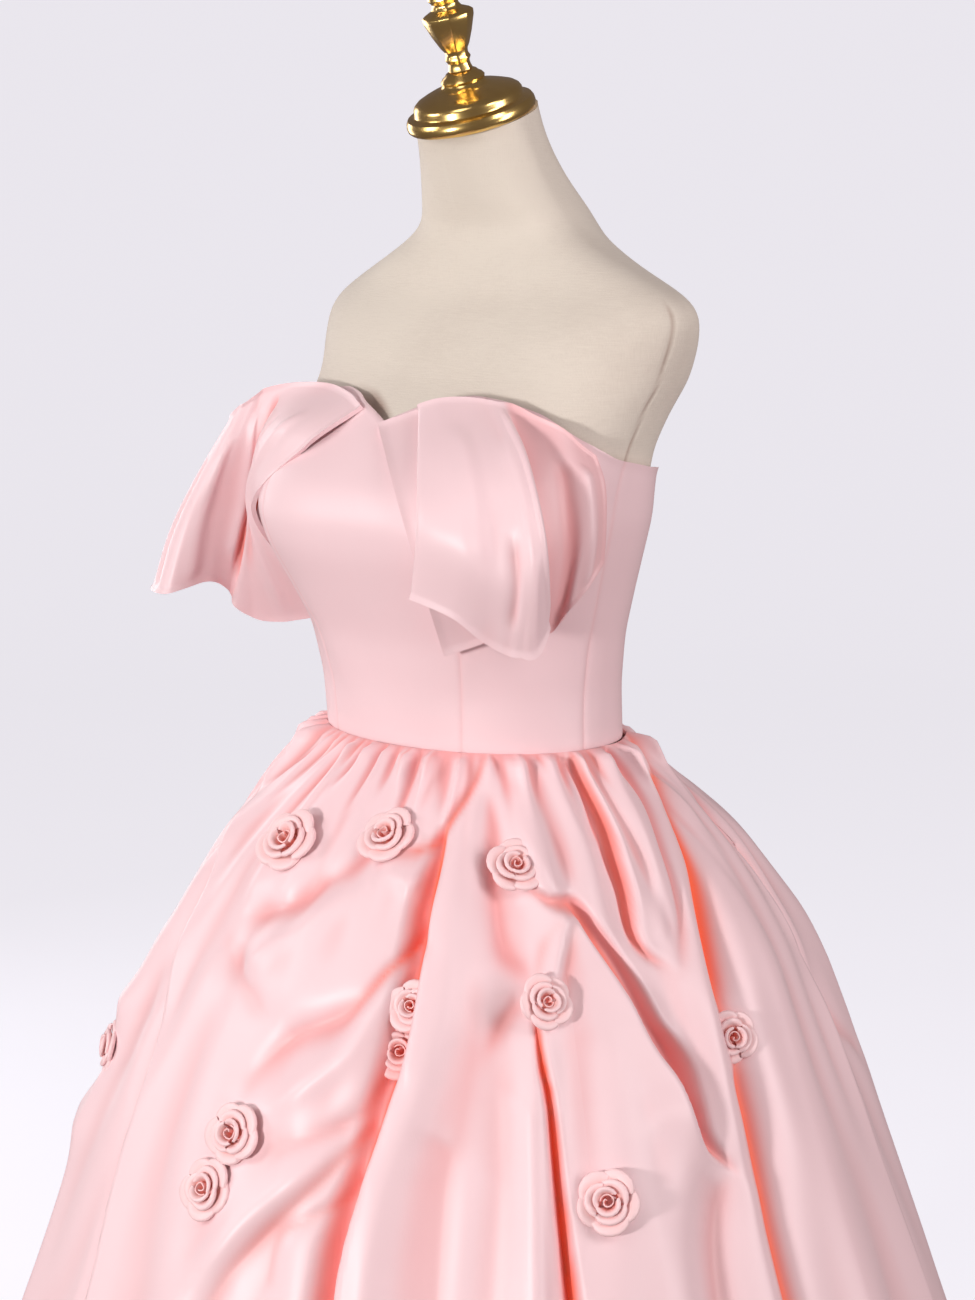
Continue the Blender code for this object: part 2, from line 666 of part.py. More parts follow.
BASE_PROFILE = (
    (BASE_RADIUS, 0.0),
    (BASE_RADIUS, BASE_HEIGHT - 0.004),
    (BASE_RADIUS - 0.004, BASE_HEIGHT),
)
vertices, faces = lathe(BASE_PROFILE, 32)
add_solid("stand_base", vertices, faces, GOLD, 0.25, 1.0)
POLE_PROFILE = ((POLE_RADIUS, BASE_HEIGHT + SEAM_GAP), (POLE_RADIUS, BODY[0][0] - SEAM_GAP))
vertices, faces = lathe(POLE_PROFILE, 16)
add_solid("stand_pole", vertices, faces, GOLD, 0.25, 1.0)
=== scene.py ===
"""Looks of a strapless a-line prom dress on a limbless dress form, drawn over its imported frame."""

import json
import logging
import math
from dataclasses import dataclass, field
from enum import Enum

import bmesh
import bpy
import numpy as np
from mathutils import Matrix, Vector
from mathutils.bvhtree import BVHTree

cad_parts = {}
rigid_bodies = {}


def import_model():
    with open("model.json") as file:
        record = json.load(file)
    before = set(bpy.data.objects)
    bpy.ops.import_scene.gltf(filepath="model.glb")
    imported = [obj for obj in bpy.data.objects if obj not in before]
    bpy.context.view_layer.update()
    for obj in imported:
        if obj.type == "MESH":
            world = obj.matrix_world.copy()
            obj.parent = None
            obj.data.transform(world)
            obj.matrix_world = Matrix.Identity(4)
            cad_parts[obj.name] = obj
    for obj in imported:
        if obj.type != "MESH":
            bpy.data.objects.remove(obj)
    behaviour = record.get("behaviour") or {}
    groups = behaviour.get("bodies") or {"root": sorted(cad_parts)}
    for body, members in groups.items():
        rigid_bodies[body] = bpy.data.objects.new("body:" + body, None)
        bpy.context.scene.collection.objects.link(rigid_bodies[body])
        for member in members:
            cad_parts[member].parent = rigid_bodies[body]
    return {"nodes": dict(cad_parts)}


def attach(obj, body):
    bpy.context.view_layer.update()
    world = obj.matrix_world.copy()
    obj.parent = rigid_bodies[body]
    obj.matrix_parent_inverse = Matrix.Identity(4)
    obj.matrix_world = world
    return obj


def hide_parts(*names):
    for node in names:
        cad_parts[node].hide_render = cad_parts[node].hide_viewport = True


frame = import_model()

LOG = logging.getLogger("prom_dress")
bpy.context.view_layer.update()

Colour = tuple[float, float, float]
BLACK: Colour = (0.0, 0.0, 0.0)

# ------------------------------------------------------------------ sizes shared with the solids
WAIST_Z = 1.060
HEM_Z = 0.012
SEAM_GAP = 0.0003
BODICE_WALL = 0.0020
BODICE_CLEARANCE = 0.0022
SKIRT_WALL = 0.0026
FLOUNCE_WALL = 0.0011
FORM_INSET = 0.0014
PRINCESS_SEAM_DEG = 38.0
SIDE_SEAM_DEG = 83.5
ZIP_EDGE_DEG = 177.4
NECK_FLARE = 0.0085
FULL_TURN = 360.0
NEVER = 9.0  # farther than any distance on the dress

# height, half width, depth to the front, depth to the back, centre line, squareness front and back
BODY = (
    (0.900, 0.154, 0.103, 0.110, -0.004, 2.2, 2.1),
    (0.960, 0.146, 0.099, 0.103, -0.004, 2.2, 2.1),
    (1.020, 0.129, 0.094, 0.094, -0.006, 2.1, 2.1),
    (1.060, 0.1205, 0.0915, 0.0865, -0.006, 2.1, 2.1),
    (1.100, 0.1200, 0.0945, 0.0855, -0.006, 2.2, 2.1),
    (1.140, 0.1255, 0.103, 0.086, -0.007, 2.3, 2.1),
    (1.175, 0.135, 0.119, 0.089, -0.008, 2.5, 2.1),
    (1.205, 0.144, 0.133, 0.092, -0.009, 2.7, 2.1),
    (1.230, 0.150, 0.140, 0.096, -0.008, 2.8, 2.1),
    (1.255, 0.151, 0.134, 0.094, -0.005, 2.8, 2.1),
    (1.280, 0.151, 0.120, 0.092, 0.002, 2.7, 2.1),
    (1.305, 0.156, 0.105, 0.090, 0.014, 2.5, 2.1),
    (1.330, 0.165, 0.094, 0.088, 0.028, 2.4, 2.1),
    (1.355, 0.173, 0.086, 0.082, 0.032, 2.3, 2.1),
    (1.375, 0.177, 0.077, 0.073, 0.034, 2.2, 2.0),
    (1.388, 0.170, 0.066, 0.066, 0.034, 2.1, 2.0),
    (1.399, 0.149, 0.059, 0.064, 0.031, 2.0, 2.0),
    (1.411, 0.123, 0.054, 0.066, 0.027, 2.0, 2.0),
    (1.424, 0.096, 0.048, 0.072, 0.025, 2.0, 2.0),
    (1.438, 0.074, 0.043, 0.076, 0.024, 2.0, 2.0),
    (1.452, 0.067, 0.046, 0.074, 0.019, 2.0, 2.0),
    (1.470, 0.058, 0.046, 0.066, 0.012, 2.0, 2.0),
    (1.490, 0.053, 0.047, 0.056, 0.006, 2.0, 2.0),
    (1.510, 0.050, 0.048, 0.050, 0.000, 2.0, 2.0),
    (1.530, 0.048, 0.048, 0.048, -0.005, 2.0, 2.0),
)

# degrees round from the front centre, height of the bodice's top edge
NECKLINE = (
    (0.0, 1.3000),
    (9.0, 1.3090),
    (20.0, 1.3170),
    (34.0, 1.3210),
    (45.0, 1.3180),
    (56.0, 1.3100),
    (66.0, 1.2940),
    (80.0, 1.2770),
    (97.0, 1.2680),
    (128.0, 1.2600),
    (180.0, 1.2520),
)

# drop below the waist, radius of the skirt's bell
BELL = (
    (0.000, 0.112),
    (0.020, 0.139),
    (0.050, 0.168),
    (0.080, 0.194),
    (0.155, 0.242),
    (0.280, 0.294),
    (0.385, 0.331),
    (0.470, 0.362),
    (0.700, 0.448),
    (1.050, 0.572),
)

# degrees, drop below the waist, radius of each rose
ROSES = (
    (-7.2, 0.067, 0.0225),
    (19.2, 0.053, 0.0200),
    (50.6, 0.068, 0.0185),
    (-37.5, 0.243, 0.0190),
    (31.9, 0.155, 0.0170),
    (29.6, 0.186, 0.0180),
    (53.2, 0.152, 0.0175),
    (88.0, 0.194, 0.0175),
    (5.6, 0.252, 0.0200),
    (3.0, 0.291, 0.0200),
    (60.6, 0.281, 0.0200),
    (-80.0, 0.150, 0.0195),
    (-106.0, 0.110, 0.0200),
    (-98.0, 0.262, 0.0190),
    (-134.0, 0.090, 0.0200),
    (168.0, 0.120, 0.0195),
    (163.0, 0.262, 0.0190),
    (-156.0, 0.190, 0.0200),
    (-26.0, 0.500, 0.0200),
    (43.0, 0.470, 0.0200),
)

# fold lines of the two neckline flounces, four points each from neckline to hem: degrees round,
# distance out from the bodice, height
FLOUNCE_LEFT = (
    (0.0, 0.0026, 1.298, 21.0, 0.0095, 1.257, 29.5, 0.013, 1.200, 34.0, 0.016, 1.137),
    (26.0, 0.0045, 1.317, 37.0, 0.009, 1.262, 43.5, 0.013, 1.209, 48.0, 0.018, 1.152),
    (25.0, 0.0110, 1.317, 36.0, 0.018, 1.266, 42.5, 0.022, 1.214, 46.5, 0.024, 1.161),
    (16.0, 0.0150, 1.313, 27.0, 0.026, 1.277, 31.0, 0.031, 1.237, 28.5, 0.034, 1.183),
    (22.5, 0.0215, 1.318, 36.5, 0.034, 1.274, 41.0, 0.040, 1.226, 38.5, 0.046, 1.173),
    (30.0, 0.0200, 1.320, 45.0, 0.034, 1.269, 48.0, 0.046, 1.209, 46.5, 0.050, 1.153),
    (37.5, 0.0150, 1.319, 50.0, 0.036, 1.270, 53.5, 0.054, 1.210, 53.5, 0.058, 1.145),
    (43.0, 0.0120, 1.317, 52.0, 0.034, 1.281, 56.0, 0.050, 1.231, 59.0, 0.052, 1.165),
    (47.0, 0.0070, 1.316, 54.0, 0.018, 1.268, 56.0, 0.026, 1.224, 56.5, 0.030, 1.176),
    (54.0, 0.0040, 1.309, 61.0, 0.012, 1.267, 64.0, 0.018, 1.218, 63.0, 0.024, 1.157),
    (61.0, 0.0040, 1.301, 66.0, 0.014, 1.267, 68.5, 0.022, 1.225, 67.5, 0.028, 1.177),
    (67.0, 0.0022, 1.289, 71.5, 0.012, 1.264, 73.0, 0.018, 1.231, 73.5, 0.022, 1.197),
    (72.0, 0.0016, 1.281, 75.0, 0.009, 1.261, 76.5, 0.012, 1.233, 77.5, 0.014, 1.205),
)
FLOUNCE_RIGHT = (
    (-11.0, 0.0030, 1.309, -24.0, 0.0070, 1.281, -50.0, 0.0042, 1.224, -86.0, 0.008, 1.137),
    (-22.0, 0.0040, 1.316, -34.0, 0.0135, 1.284, -56.0, 0.0090, 1.229, -82.0, 0.037, 1.129),
    (-38.0, 0.008, 1.321, -46.0, 0.018, 1.285, -62.0, 0.018, 1.228, -77.0, 0.066, 1.127),
    (-48.0, 0.020, 1.321, -55.0, 0.017, 1.283, -65.0, 0.024, 1.227, -73.0, 0.080, 1.138),
    (-56.0, 0.036, 1.315, -61.0, 0.020, 1.275, -68.0, 0.030, 1.222, -72.0, 0.081, 1.152),
    (-57.0, 0.041, 1.308, -60.0, 0.034, 1.267, -64.0, 0.049, 1.219, -66.0, 0.084, 1.162),
    (-58.0, 0.046, 1.300, -60.0, 0.050, 1.252, -61.0, 0.078, 1.204, -60.0, 0.113, 1.154),
    (-63.0, 0.048, 1.290, -66.0, 0.066, 1.246, -68.0, 0.102, 1.200, -68.0, 0.136, 1.154),
    (-75.0, 0.024, 1.286, -79.0, 0.054, 1.244, -83.0, 0.088, 1.201, -84.0, 0.114, 1.158),
    (-88.0, 0.004, 1.272, -94.0, 0.020, 1.240, -98.0, 0.038, 1.202, -99.0, 0.050, 1.166),
)


class Lie(Enum):
    """How the cloth lies at a fold line of the skirt."""

    RIDGE = "soft roll standing out"
    TROUGH = "soft hollow"
    SLIT = "narrow pinched hollow"
    LEFT_OVER = "cloth on the left of the line lies over that on the right"
    RIGHT_OVER = "cloth on the right of the line lies over that on the left"


@dataclass(frozen=True)
class Fold:
    """One fold of the skirt, along a line of (degrees, drop below the waist, strength)."""

    lie: Lie
    line: tuple[tuple[float, float, float], ...]
    height: float = 0.0
    width: float = 0.02
    depth: float = 0.0
    recess: float = 0.006
    soft: float = 0.020
    # glow: strength of the painted coral shade and painted glow down the fold
    glow: float = 1.0


# the skirt's main folds, placed one by one
FOLDS = (
    # long lap down the middle of the front, and the tube of cloth that lies over it
    Fold(Lie.RIGHT_OVER, ((45.5, 0.004, 0.15), (40.0, 0.026, 0.35), (35.4, 0.045, 0.45), (34.9, 0.066, 0.7),
         (34.0, 0.091, 1.0), (33.4, 0.117, 1.0), (32.0, 0.173, 1.0), (30.3, 0.206, 0.95), (27.6, 0.257, 0.9),
         (25.7, 0.303, 1.0), (24.9, 0.344, 1.0), (24.0, 0.45, 1.0), (23.0, 0.70, 0.9), (22.5, 1.06, 0.9)),
         height=0.014, width=0.018, depth=0.018, recess=0.006, soft=0.018),
    Fold(Lie.RIDGE, ((43.0, 0.020, 0.3), (39.5, 0.050, 0.8), (38.5, 0.10, 1.0), (37.4, 0.15, 1.0), (35.2, 0.193, 1.0),
         (31.5, 0.251, 1.0), (29.8, 0.295, 1.0), (28.8, 0.36, 1.0), (28.0, 0.60, 1.0), (28.0, 1.06, 1.0)),
         height=0.010, width=0.017),
    # hollow on the right of the tube, swinging out to the rose below
    Fold(Lie.TROUGH, ((44.6, 0.016, 0.2), (46.2, 0.042, 0.9), (46.2, 0.077, 1.0), (46.8, 0.105, 1.0),
         (48.0, 0.124, 1.0), (51.6, 0.134, 0.3)), depth=0.011, width=0.012, glow=0.12),
    Fold(Lie.TROUGH, ((42.4, 0.13, 0.0), (41.8, 0.18, 0.7), (40.0, 0.24, 0.9), (37.5, 0.34, 1.0), (36.5, 1.06, 0.8)),
         depth=0.010, width=0.022, glow=0.1),
    # puffed cloth above the slanting lap
    Fold(Lie.RIDGE, ((50.0, 0.020, 0.2), (53.0, 0.045, 1.0), (57.0, 0.072, 1.0), (63.0, 0.098, 0.4)), height=0.013,
         width=0.021),
    # slanting lap from the rose at the middle of the front down to the side
    Fold(Lie.LEFT_OVER, ((52.4, 0.080, 0.15), (55.4, 0.090, 0.35), (58.6, 0.095, 0.45), (61.0, 0.099, 0.55),
         (62.8, 0.113, 0.65), (65.4, 0.134, 0.75), (67.6, 0.155, 0.85), (69.4, 0.182, 1.0), (72.1, 0.207, 1.15),
         (73.8, 0.233, 0.95), (76.2, 0.257, 0.55), (80.6, 0.276, 0.1)), height=0.010, width=0.022, depth=0.018,
         recess=0.016, soft=0.008, glow=0.55),
    Fold(Lie.TROUGH, ((80.8, 0.276, 0.5), (77.3, 0.297, 1.0), (74.6, 0.355, 1.0), (73.4, 0.50, 0.8),
         (72.0, 1.06, 0.8)), depth=0.009, width=0.022, glow=0.12),
    # tent of cloth between the pick-up's tip and the rose under it
    Fold(Lie.RIDGE, ((58.4, 0.100, 0.8), (56.9, 0.118, 1.0), (54.5, 0.140, 1.0)), height=0.008, width=0.009),
    Fold(Lie.SLIT, ((60.0, 0.104, 0.5), (59.2, 0.121, 0.8), (57.0, 0.146, 0.5)), depth=0.004, width=0.004, glow=0.3),
    Fold(Lie.SLIT, ((57.0, 0.102, 0.4), (54.6, 0.116, 0.7), (53.1, 0.133, 0.6)), depth=0.004, width=0.004, glow=0.25),
    # straight narrow lap under the rose
    Fold(Lie.RIGHT_OVER, ((52.6, 0.166, 0.5), (53.1, 0.19, 0.8), (53.9, 0.216, 0.85), (54.4, 0.27, 1.0),
         (55.2, 0.341, 1.1), (56.0, 0.45, 1.1), (57.0, 0.7, 1.0), (58.0, 1.06, 1.0)), height=0.009, width=0.030,
         depth=0.013, recess=0.0045, soft=0.004),
    Fold(Lie.TROUGH, ((49.0, 0.155, 0.8), (46.4, 0.168, 1.0), (44.2, 0.184, 0.3)), depth=0.006, width=0.008, glow=0.3),
    Fold(Lie.RIDGE, ((51.6, 0.17, 0.3), (50.4, 0.22, 1.0), (50.0, 0.30, 1.0), (50.5, 1.06, 1.0)), height=0.010,
         width=0.014),
    Fold(Lie.RIDGE, ((63.0, 0.17, 0.3), (66.0, 0.23, 1.0), (66.0, 0.32, 1.0), (65.0, 1.06, 1.0)), height=0.015,
         width=0.040),
    # pinched folds running down from the waist at the side
    Fold(Lie.SLIT, ((72.0, 0.004, 0.7), (73.5, 0.023, 1.0), (72.8, 0.043, 0.8), (71.7, 0.058, 0.1)), depth=0.010,
         width=0.0050, glow=0.10),
    Fold(Lie.RIGHT_OVER, ((75.6, 0.006, 0.5), (76.5, 0.030, 0.8), (76.8, 0.049, 1.0), (76.0, 0.069, 1.0),
         (75.6, 0.090, 0.85), (74.3, 0.114, 0.7), (75.3, 0.128, 0.45), (77.9, 0.136, 0.1)), height=0.008, width=0.014,
         depth=0.014, recess=0.0065, soft=0.009, glow=0.55),
    Fold(Lie.SLIT, ((90.6, 0.005, 0.8), (92.4, 0.018, 1.0), (92.0, 0.039, 1.0), (88.6, 0.065, 0.9),
         (87.0, 0.090, 0.8), (84.7, 0.114, 0.6), (80.3, 0.144, 0.1)), depth=0.012, width=0.0050, glow=0.12),
    Fold(Lie.RIDGE, ((83.0, 0.01, 0.4), (83.6, 0.035, 1.0), (82.0, 0.08, 1.0), (79.5, 0.115, 0.5)), height=0.007,
         width=0.010),
    # long lap down the side
    Fold(Lie.SLIT, ((112.0, 0.004, 0.4), (108.6, 0.019, 0.6), (102.3, 0.035, 0.8), (97.4, 0.061, 1.0),
         (95.0, 0.088, 1.2), (91.2, 0.124, 1.3), (88.6, 0.155, 1.1), (87.6, 0.174, 0.5), (87.5, 0.205, 0.3),
         (87.1, 0.226, 0.7), (86.9, 0.254, 0.8), (86.1, 0.298, 0.8), (85.7, 0.34, 0.8), (86.0, 0.45, 0.8),
         (86.5, 0.7, 0.8), (87.0, 1.06, 0.8)), depth=0.014, width=0.0090, glow=1.3),
    Fold(Lie.RIDGE, ((93.0, 0.03, 0.1), (91.0, 0.06, 0.8), (88.0, 0.10, 1.0), (84.0, 0.16, 1.0), (82.5, 0.22, 0.8),
         (82.5, 0.34, 0.8), (83.0, 1.06, 0.7)), height=0.008, width=0.016),
    Fold(Lie.SLIT, ((124.0, 0.008, 0.6), (128.0, 0.028, 1.0), (125.0, 0.049, 0.9), (121.0, 0.070, 0.7),
         (122.0, 0.095, 0.1)), depth=0.009, width=0.005, glow=0.12),
    Fold(Lie.RIDGE, ((104.0, 0.06, 0.2), (101.0, 0.12, 1.0), (99.0, 0.20, 1.0), (98.0, 0.34, 1.0), (98.0, 1.06, 1.0)),
         height=0.014, width=0.034),
    # folds fanning from the middle lap to the left of the front
    Fold(Lie.SLIT, ((33.2, 0.113, 1.0), (30.1, 0.123, 0.9), (26.3, 0.135, 0.8), (23.1, 0.152, 0.5),
         (19.5, 0.171, 0.1)), depth=0.010, width=0.005, glow=0.8),
    Fold(Lie.TROUGH, ((24.0, 0.152, 0.5), (19.5, 0.168, 1.0), (10.5, 0.187, 1.0), (5.6, 0.214, 0.7),
         (4.6, 0.232, 0.2)), depth=0.011, width=0.015, glow=0.08),
    Fold(Lie.RIDGE, ((32.0, 0.130, 0.2), (26.0, 0.150, 1.0), (20.5, 0.190, 1.0), (12.0, 0.225, 0.6),
         (8.0, 0.24, 0.1)), height=0.010, width=0.013),
    Fold(Lie.TROUGH, ((17.0, 0.062, 0.5), (9.6, 0.083, 1.0), (-1.9, 0.110, 1.0), (-9.6, 0.115, 0.5)), depth=0.011,
         width=0.013, glow=0.06),
    Fold(Lie.RIDGE, ((16.0, 0.085, 0.3), (8.0, 0.107, 1.0), (0.0, 0.133, 0.9), (-4.0, 0.152, 0.2)), height=0.007,
         width=0.013),
    Fold(Lie.TROUGH, ((-11.3, 0.137, 0.8), (-5.0, 0.152, 1.0), (4.5, 0.176, 0.5)), depth=0.007, width=0.014,
         glow=0.04),
    Fold(Lie.SLIT, ((22.6, 0.062, 0.4), (28.0, 0.060, 0.8), (34.0, 0.054, 1.0)), depth=0.009, width=0.0050, glow=0.7),
    Fold(Lie.RIDGE, ((24.0, 0.072, 0.7), (28.0, 0.076, 1.0), (30.5, 0.088, 0.5)), height=0.008, width=0.009),
    Fold(Lie.TROUGH, ((29.5, 0.199, 1.0), (28.0, 0.208, 0.9), (24.0, 0.232, 0.8), (13.3, 0.254, 0.3)), depth=0.009,
         width=0.009, glow=0.25),
    Fold(Lie.SLIT, ((26.6, 0.240, 1.0), (25.0, 0.246, 0.9), (19.2, 0.277, 0.8), (13.9, 0.307, 0.7), (9.4, 0.339, 0.6),
         (6.9, 0.38, 0.5), (4.0, 0.46, 0.4), (2.0, 0.60, 0.3)), depth=0.010, width=0.009, glow=0.3),
    Fold(Lie.RIDGE, ((24.0, 0.25, 0.2), (16.0, 0.275, 1.0), (9.0, 0.315, 1.0), (3.0, 0.37, 1.0), (-2.0, 0.5, 1.0),
         (-4.0, 1.06, 0.8)), height=0.012, width=0.020),
    Fold(Lie.SLIT, ((26.0, 0.273, 1.0), (25.0, 0.281, 0.8), (18.4, 0.299, 0.6), (15.4, 0.312, 0.5),
         (15.0, 0.34, 0.3)), depth=0.006, width=0.006, glow=0.35),
    # overlap at the left edge of the skirt
    Fold(Lie.RIGHT_OVER, ((-46.0, 0.040, 0.2), (-41.0, 0.060, 0.8), (-31.5, 0.082, 1.0), (-24.0, 0.145, 1.0),
         (-19.6, 0.204, 1.0), (-17.0, 0.256, 1.0), (-16.2, 0.318, 1.0), (-15.0, 0.393, 1.0), (-14.5, 0.6, 0.9),
         (-14.0, 1.06, 0.9)), height=0.010, width=0.016, depth=0.008, recess=0.003, soft=0.030, glow=0.10),
    Fold(Lie.TROUGH, ((-42.0, 0.14, 0.6), (-47.0, 0.22, 1.0), (-51.0, 0.32, 1.0), (-49.0, 1.06, 0.9)), depth=0.016,
         width=0.022, glow=0.15),
    Fold(Lie.RIDGE, ((-37.0, 0.09, 0.5), (-37.0, 0.20, 1.0), (-35.0, 0.32, 1.0), (-34.0, 1.06, 1.0)), height=0.012,
         width=0.026),
    Fold(Lie.RIDGE, ((-50.0, 0.190, 0.5), (-42.0, 0.198, 1.0), (-36.0, 0.205, 0.6)), height=0.011, width=0.017),
    Fold(Lie.TROUGH, ((-50.0, 0.243, 0.5), (-43.0, 0.240, 1.0), (-36.0, 0.243, 0.5)), depth=0.008, width=0.016,
         glow=0.05),
    Fold(Lie.RIDGE, ((-54.0, 0.300, 0.5), (-45.0, 0.296, 1.0), (-36.0, 0.300, 0.5)), height=0.012, width=0.022),
    # folds of the sides and back
    Fold(Lie.LEFT_OVER, ((-64.0, 0.01, 0.4), (-67.0, 0.06, 0.9), (-72.0, 0.20, 1.0), (-74.0, 0.45, 1.0),
         (-74.0, 1.06, 0.9)), height=0.010, width=0.020, depth=0.016, recess=0.008, soft=0.02, glow=0.18),
    Fold(Lie.RIDGE, ((-84.0, 0.05, 0.4), (-88.0, 0.14, 1.0), (-92.0, 0.30, 1.0), (-94.0, 1.06, 1.0)), height=0.018,
         width=0.040),
    Fold(Lie.RIGHT_OVER, ((-120.0, 0.01, 0.4), (-117.0, 0.06, 0.9), (-112.0, 0.20, 1.0), (-113.0, 0.45, 1.0),
         (-114.0, 1.06, 0.9)), height=0.010, width=0.020, depth=0.018, recess=0.008, soft=0.02, glow=0.18),
    Fold(Lie.RIDGE, ((-134.0, 0.05, 0.4), (-137.0, 0.14, 1.0), (-138.0, 0.30, 1.0), (-136.0, 1.06, 1.0)),
         height=0.017, width=0.040),
    Fold(Lie.LEFT_OVER, ((-161.0, 0.01, 0.4), (-159.0, 0.06, 0.9), (-158.0, 0.18, 1.0), (-159.0, 0.45, 1.0),
         (-160.0, 1.06, 0.9)), height=0.010, width=0.020, depth=0.015, recess=0.007, soft=0.02, glow=0.18),
    Fold(Lie.RIDGE, ((-179.0, 0.06, 0.4), (-177.0, 0.18, 1.0), (-176.0, 0.34, 1.0), (-178.0, 1.06, 1.0)),
         height=0.015, width=0.040),
    Fold(Lie.RIGHT_OVER, ((163.0, 0.01, 0.4), (161.0, 0.06, 0.9), (158.0, 0.20, 1.0), (159.0, 0.45, 1.0),
         (160.0, 1.06, 0.9)), height=0.010, width=0.020, depth=0.016, recess=0.007, soft=0.02, glow=0.18),
    Fold(Lie.RIDGE, ((142.0, 0.06, 0.4), (140.0, 0.18, 1.0), (140.0, 0.30, 1.0), (141.0, 1.06, 1.0)), height=0.017,
         width=0.040),
    Fold(Lie.LEFT_OVER, ((122.0, 0.09, 0.3), (121.0, 0.15, 0.9), (120.0, 0.26, 1.0), (119.0, 0.45, 1.0),
         (118.0, 1.06, 0.9)), height=0.010, width=0.020, depth=0.016, recess=0.007, soft=0.02, glow=0.18),
    Fold(Lie.TROUGH, ((-90.0, 0.10, 0.2), (-98.0, 0.16, 1.0), (-108.0, 0.19, 0.6)), depth=0.008, width=0.013,
         glow=0.1),
    Fold(Lie.TROUGH, ((-124.0, 0.12, 0.2), (-134.0, 0.16, 1.0), (-146.0, 0.22, 0.5)), depth=0.008, width=0.013,
         glow=0.1),
    Fold(Lie.TROUGH, ((172.0, 0.15, 0.2), (166.0, 0.20, 1.0), (152.0, 0.23, 0.5)), depth=0.008, width=0.013, glow=0.1),
    Fold(Lie.TROUGH, ((118.0, 0.14, 0.2), (124.0, 0.20, 1.0), (136.0, 0.26, 0.5)), depth=0.008, width=0.013, glow=0.1),
)

# pinched gathers at the waist: degrees at the top, degrees at the end, drop at the end, depth
GATHER_SLITS = (
    (1.7, 3.0, 0.020, 0.005), (14.5, 15.4, 0.030, 0.007), (36.5, 34.6, 0.014, 0.007), (47.0, 50.0, 0.017, 0.007),
    (61.5, 65.5, 0.014, 0.006), (-12.0, -14.0, 0.030, 0.006), (-24.0, -30.0, 0.040, 0.007),
    (-34.0, -45.0, 0.050, 0.007), (26.0, 25.0, 0.022, 0.004), (81.0, 82.0, 0.040, 0.006),
    (98.0, 101.0, 0.050, 0.007), (106.0, 113.0, 0.045, 0.007),
)


# ------------------------------------------------------------------ numbers and surfaces
def smooth(value: np.ndarray) -> np.ndarray:
    """Ease a value from 0 to 1, with level ends."""
    value = np.clip(value, 0.0, 1.0)
    return value * value * (3.0 - 2.0 * value)


def bell(value: np.ndarray, width: float | np.ndarray, power: float = 2.0) -> np.ndarray:
    """Give 1 where a value is 0, falling off on both sides over a width."""
    return np.exp(-(np.abs(value / width) ** power))


def half_turn(degrees: np.ndarray) -> np.ndarray:
    """Bring a turn into the range from -180 to 180."""
    return (np.asarray(degrees, float) + 180.0) % FULL_TURN - 180.0


def run(points: np.ndarray, axis: int) -> np.ndarray:
    """Give the length of cloth from the first point to each, along one axis of a grid."""
    first = points[:1] if axis == 0 else points[:, :1]
    return np.cumsum(np.linalg.norm(np.diff(points, axis=axis, prepend=first), axis=-1), axis=axis)


class Curve:
    """A row of numbers made into a smooth function of one variable."""

    def __init__(self, xs: list[float], ys: list[float], spread: float) -> None:
        """Sample the rows finely and soften their corners.

        Args:
            xs: Where each value stands, rising.
            ys: The values.
            spread: How far a corner is softened, in the same unit as xs.
        """
        step = (xs[-1] - xs[0]) / 1600.0
        reach = int(3.0 * spread / step) + 1
        self.xs = np.linspace(xs[0], xs[-1], 1601)
        ys_fine = np.interp(self.xs, xs, ys)
        before = 2.0 * ys_fine[0] - ys_fine[reach:0:-1]
        after = 2.0 * ys_fine[-1] - ys_fine[-2 : -reach - 2 : -1]
        padded = np.concatenate([before, ys_fine, after])
        share = np.exp(-0.5 * (np.arange(-reach, reach + 1) * step / spread) ** 2)
        self.ys = np.convolve(padded, share / share.sum(), mode="valid")

    def __call__(self, x: np.ndarray) -> np.ndarray:
        """Give the value at x."""
        return np.interp(x, self.xs, self.ys)


class BodyShape:
    """The body's surface, in sections that change smoothly with height."""

    def __init__(self, rows: tuple[tuple[float, ...], ...]) -> None:
        """Take the section rows, lowest first."""
        heights = [row[0] for row in rows]
        self.curves = [Curve(heights, [row[k] for row in rows], 0.007) for k in range(1, 7)]

    def point(self, degrees: np.ndarray, height: np.ndarray, out: np.ndarray | float) -> np.ndarray:
        """Give points on the body, moved outward along their radius.

        Args:
            degrees: Turn from the front centre, towards the wearer's left.
            height: Height above the floor.
            out: Distance out from the section.

        Returns:
            Points, with x, y and z in the last axis.
        """
        degrees, height = np.broadcast_arrays(np.asarray(degrees, float), np.asarray(height, float))
        half, front, back, centre, front_power, back_power = (c(height) for c in self.curves)
        s = np.sin(np.radians(degrees))
        c = np.cos(np.radians(degrees))
        depth = np.where(c > 0, front, back)
        power = np.where(c > 0, front_power, back_power)
        inverse = (np.abs(s / half) ** power + np.abs(c / depth) ** power) ** (1.0 / power)
        radius = 1.0 / inverse + out
        return np.stack([radius * s, centre - radius * c, height + 0.0 * radius], axis=-1)


BODY_SHAPE = BodyShape(BODY)
BELL_CURVE = Curve([r[0] for r in BELL], [r[1] for r in BELL], 0.012)
NECK_CURVE = Curve([r[0] for r in NECKLINE], [r[1] for r in NECKLINE], 2.0)


def neckline(degrees: np.ndarray) -> np.ndarray:
    """Give the height of the bodice's top edge at a turn from the front."""
    return NECK_CURVE(np.abs(half_turn(degrees)))


def neck_flare(degrees: np.ndarray, height: np.ndarray) -> np.ndarray:
    """Give how far the bodice's top edge stands off the form at a place."""
    apart = bell(degrees + 13.0, 13.0) + 0.5 * bell(degrees - 68.0, 22.0)
    return NECK_FLARE * apart * bell(np.maximum(0.0, neckline(degrees) - height), 0.026)


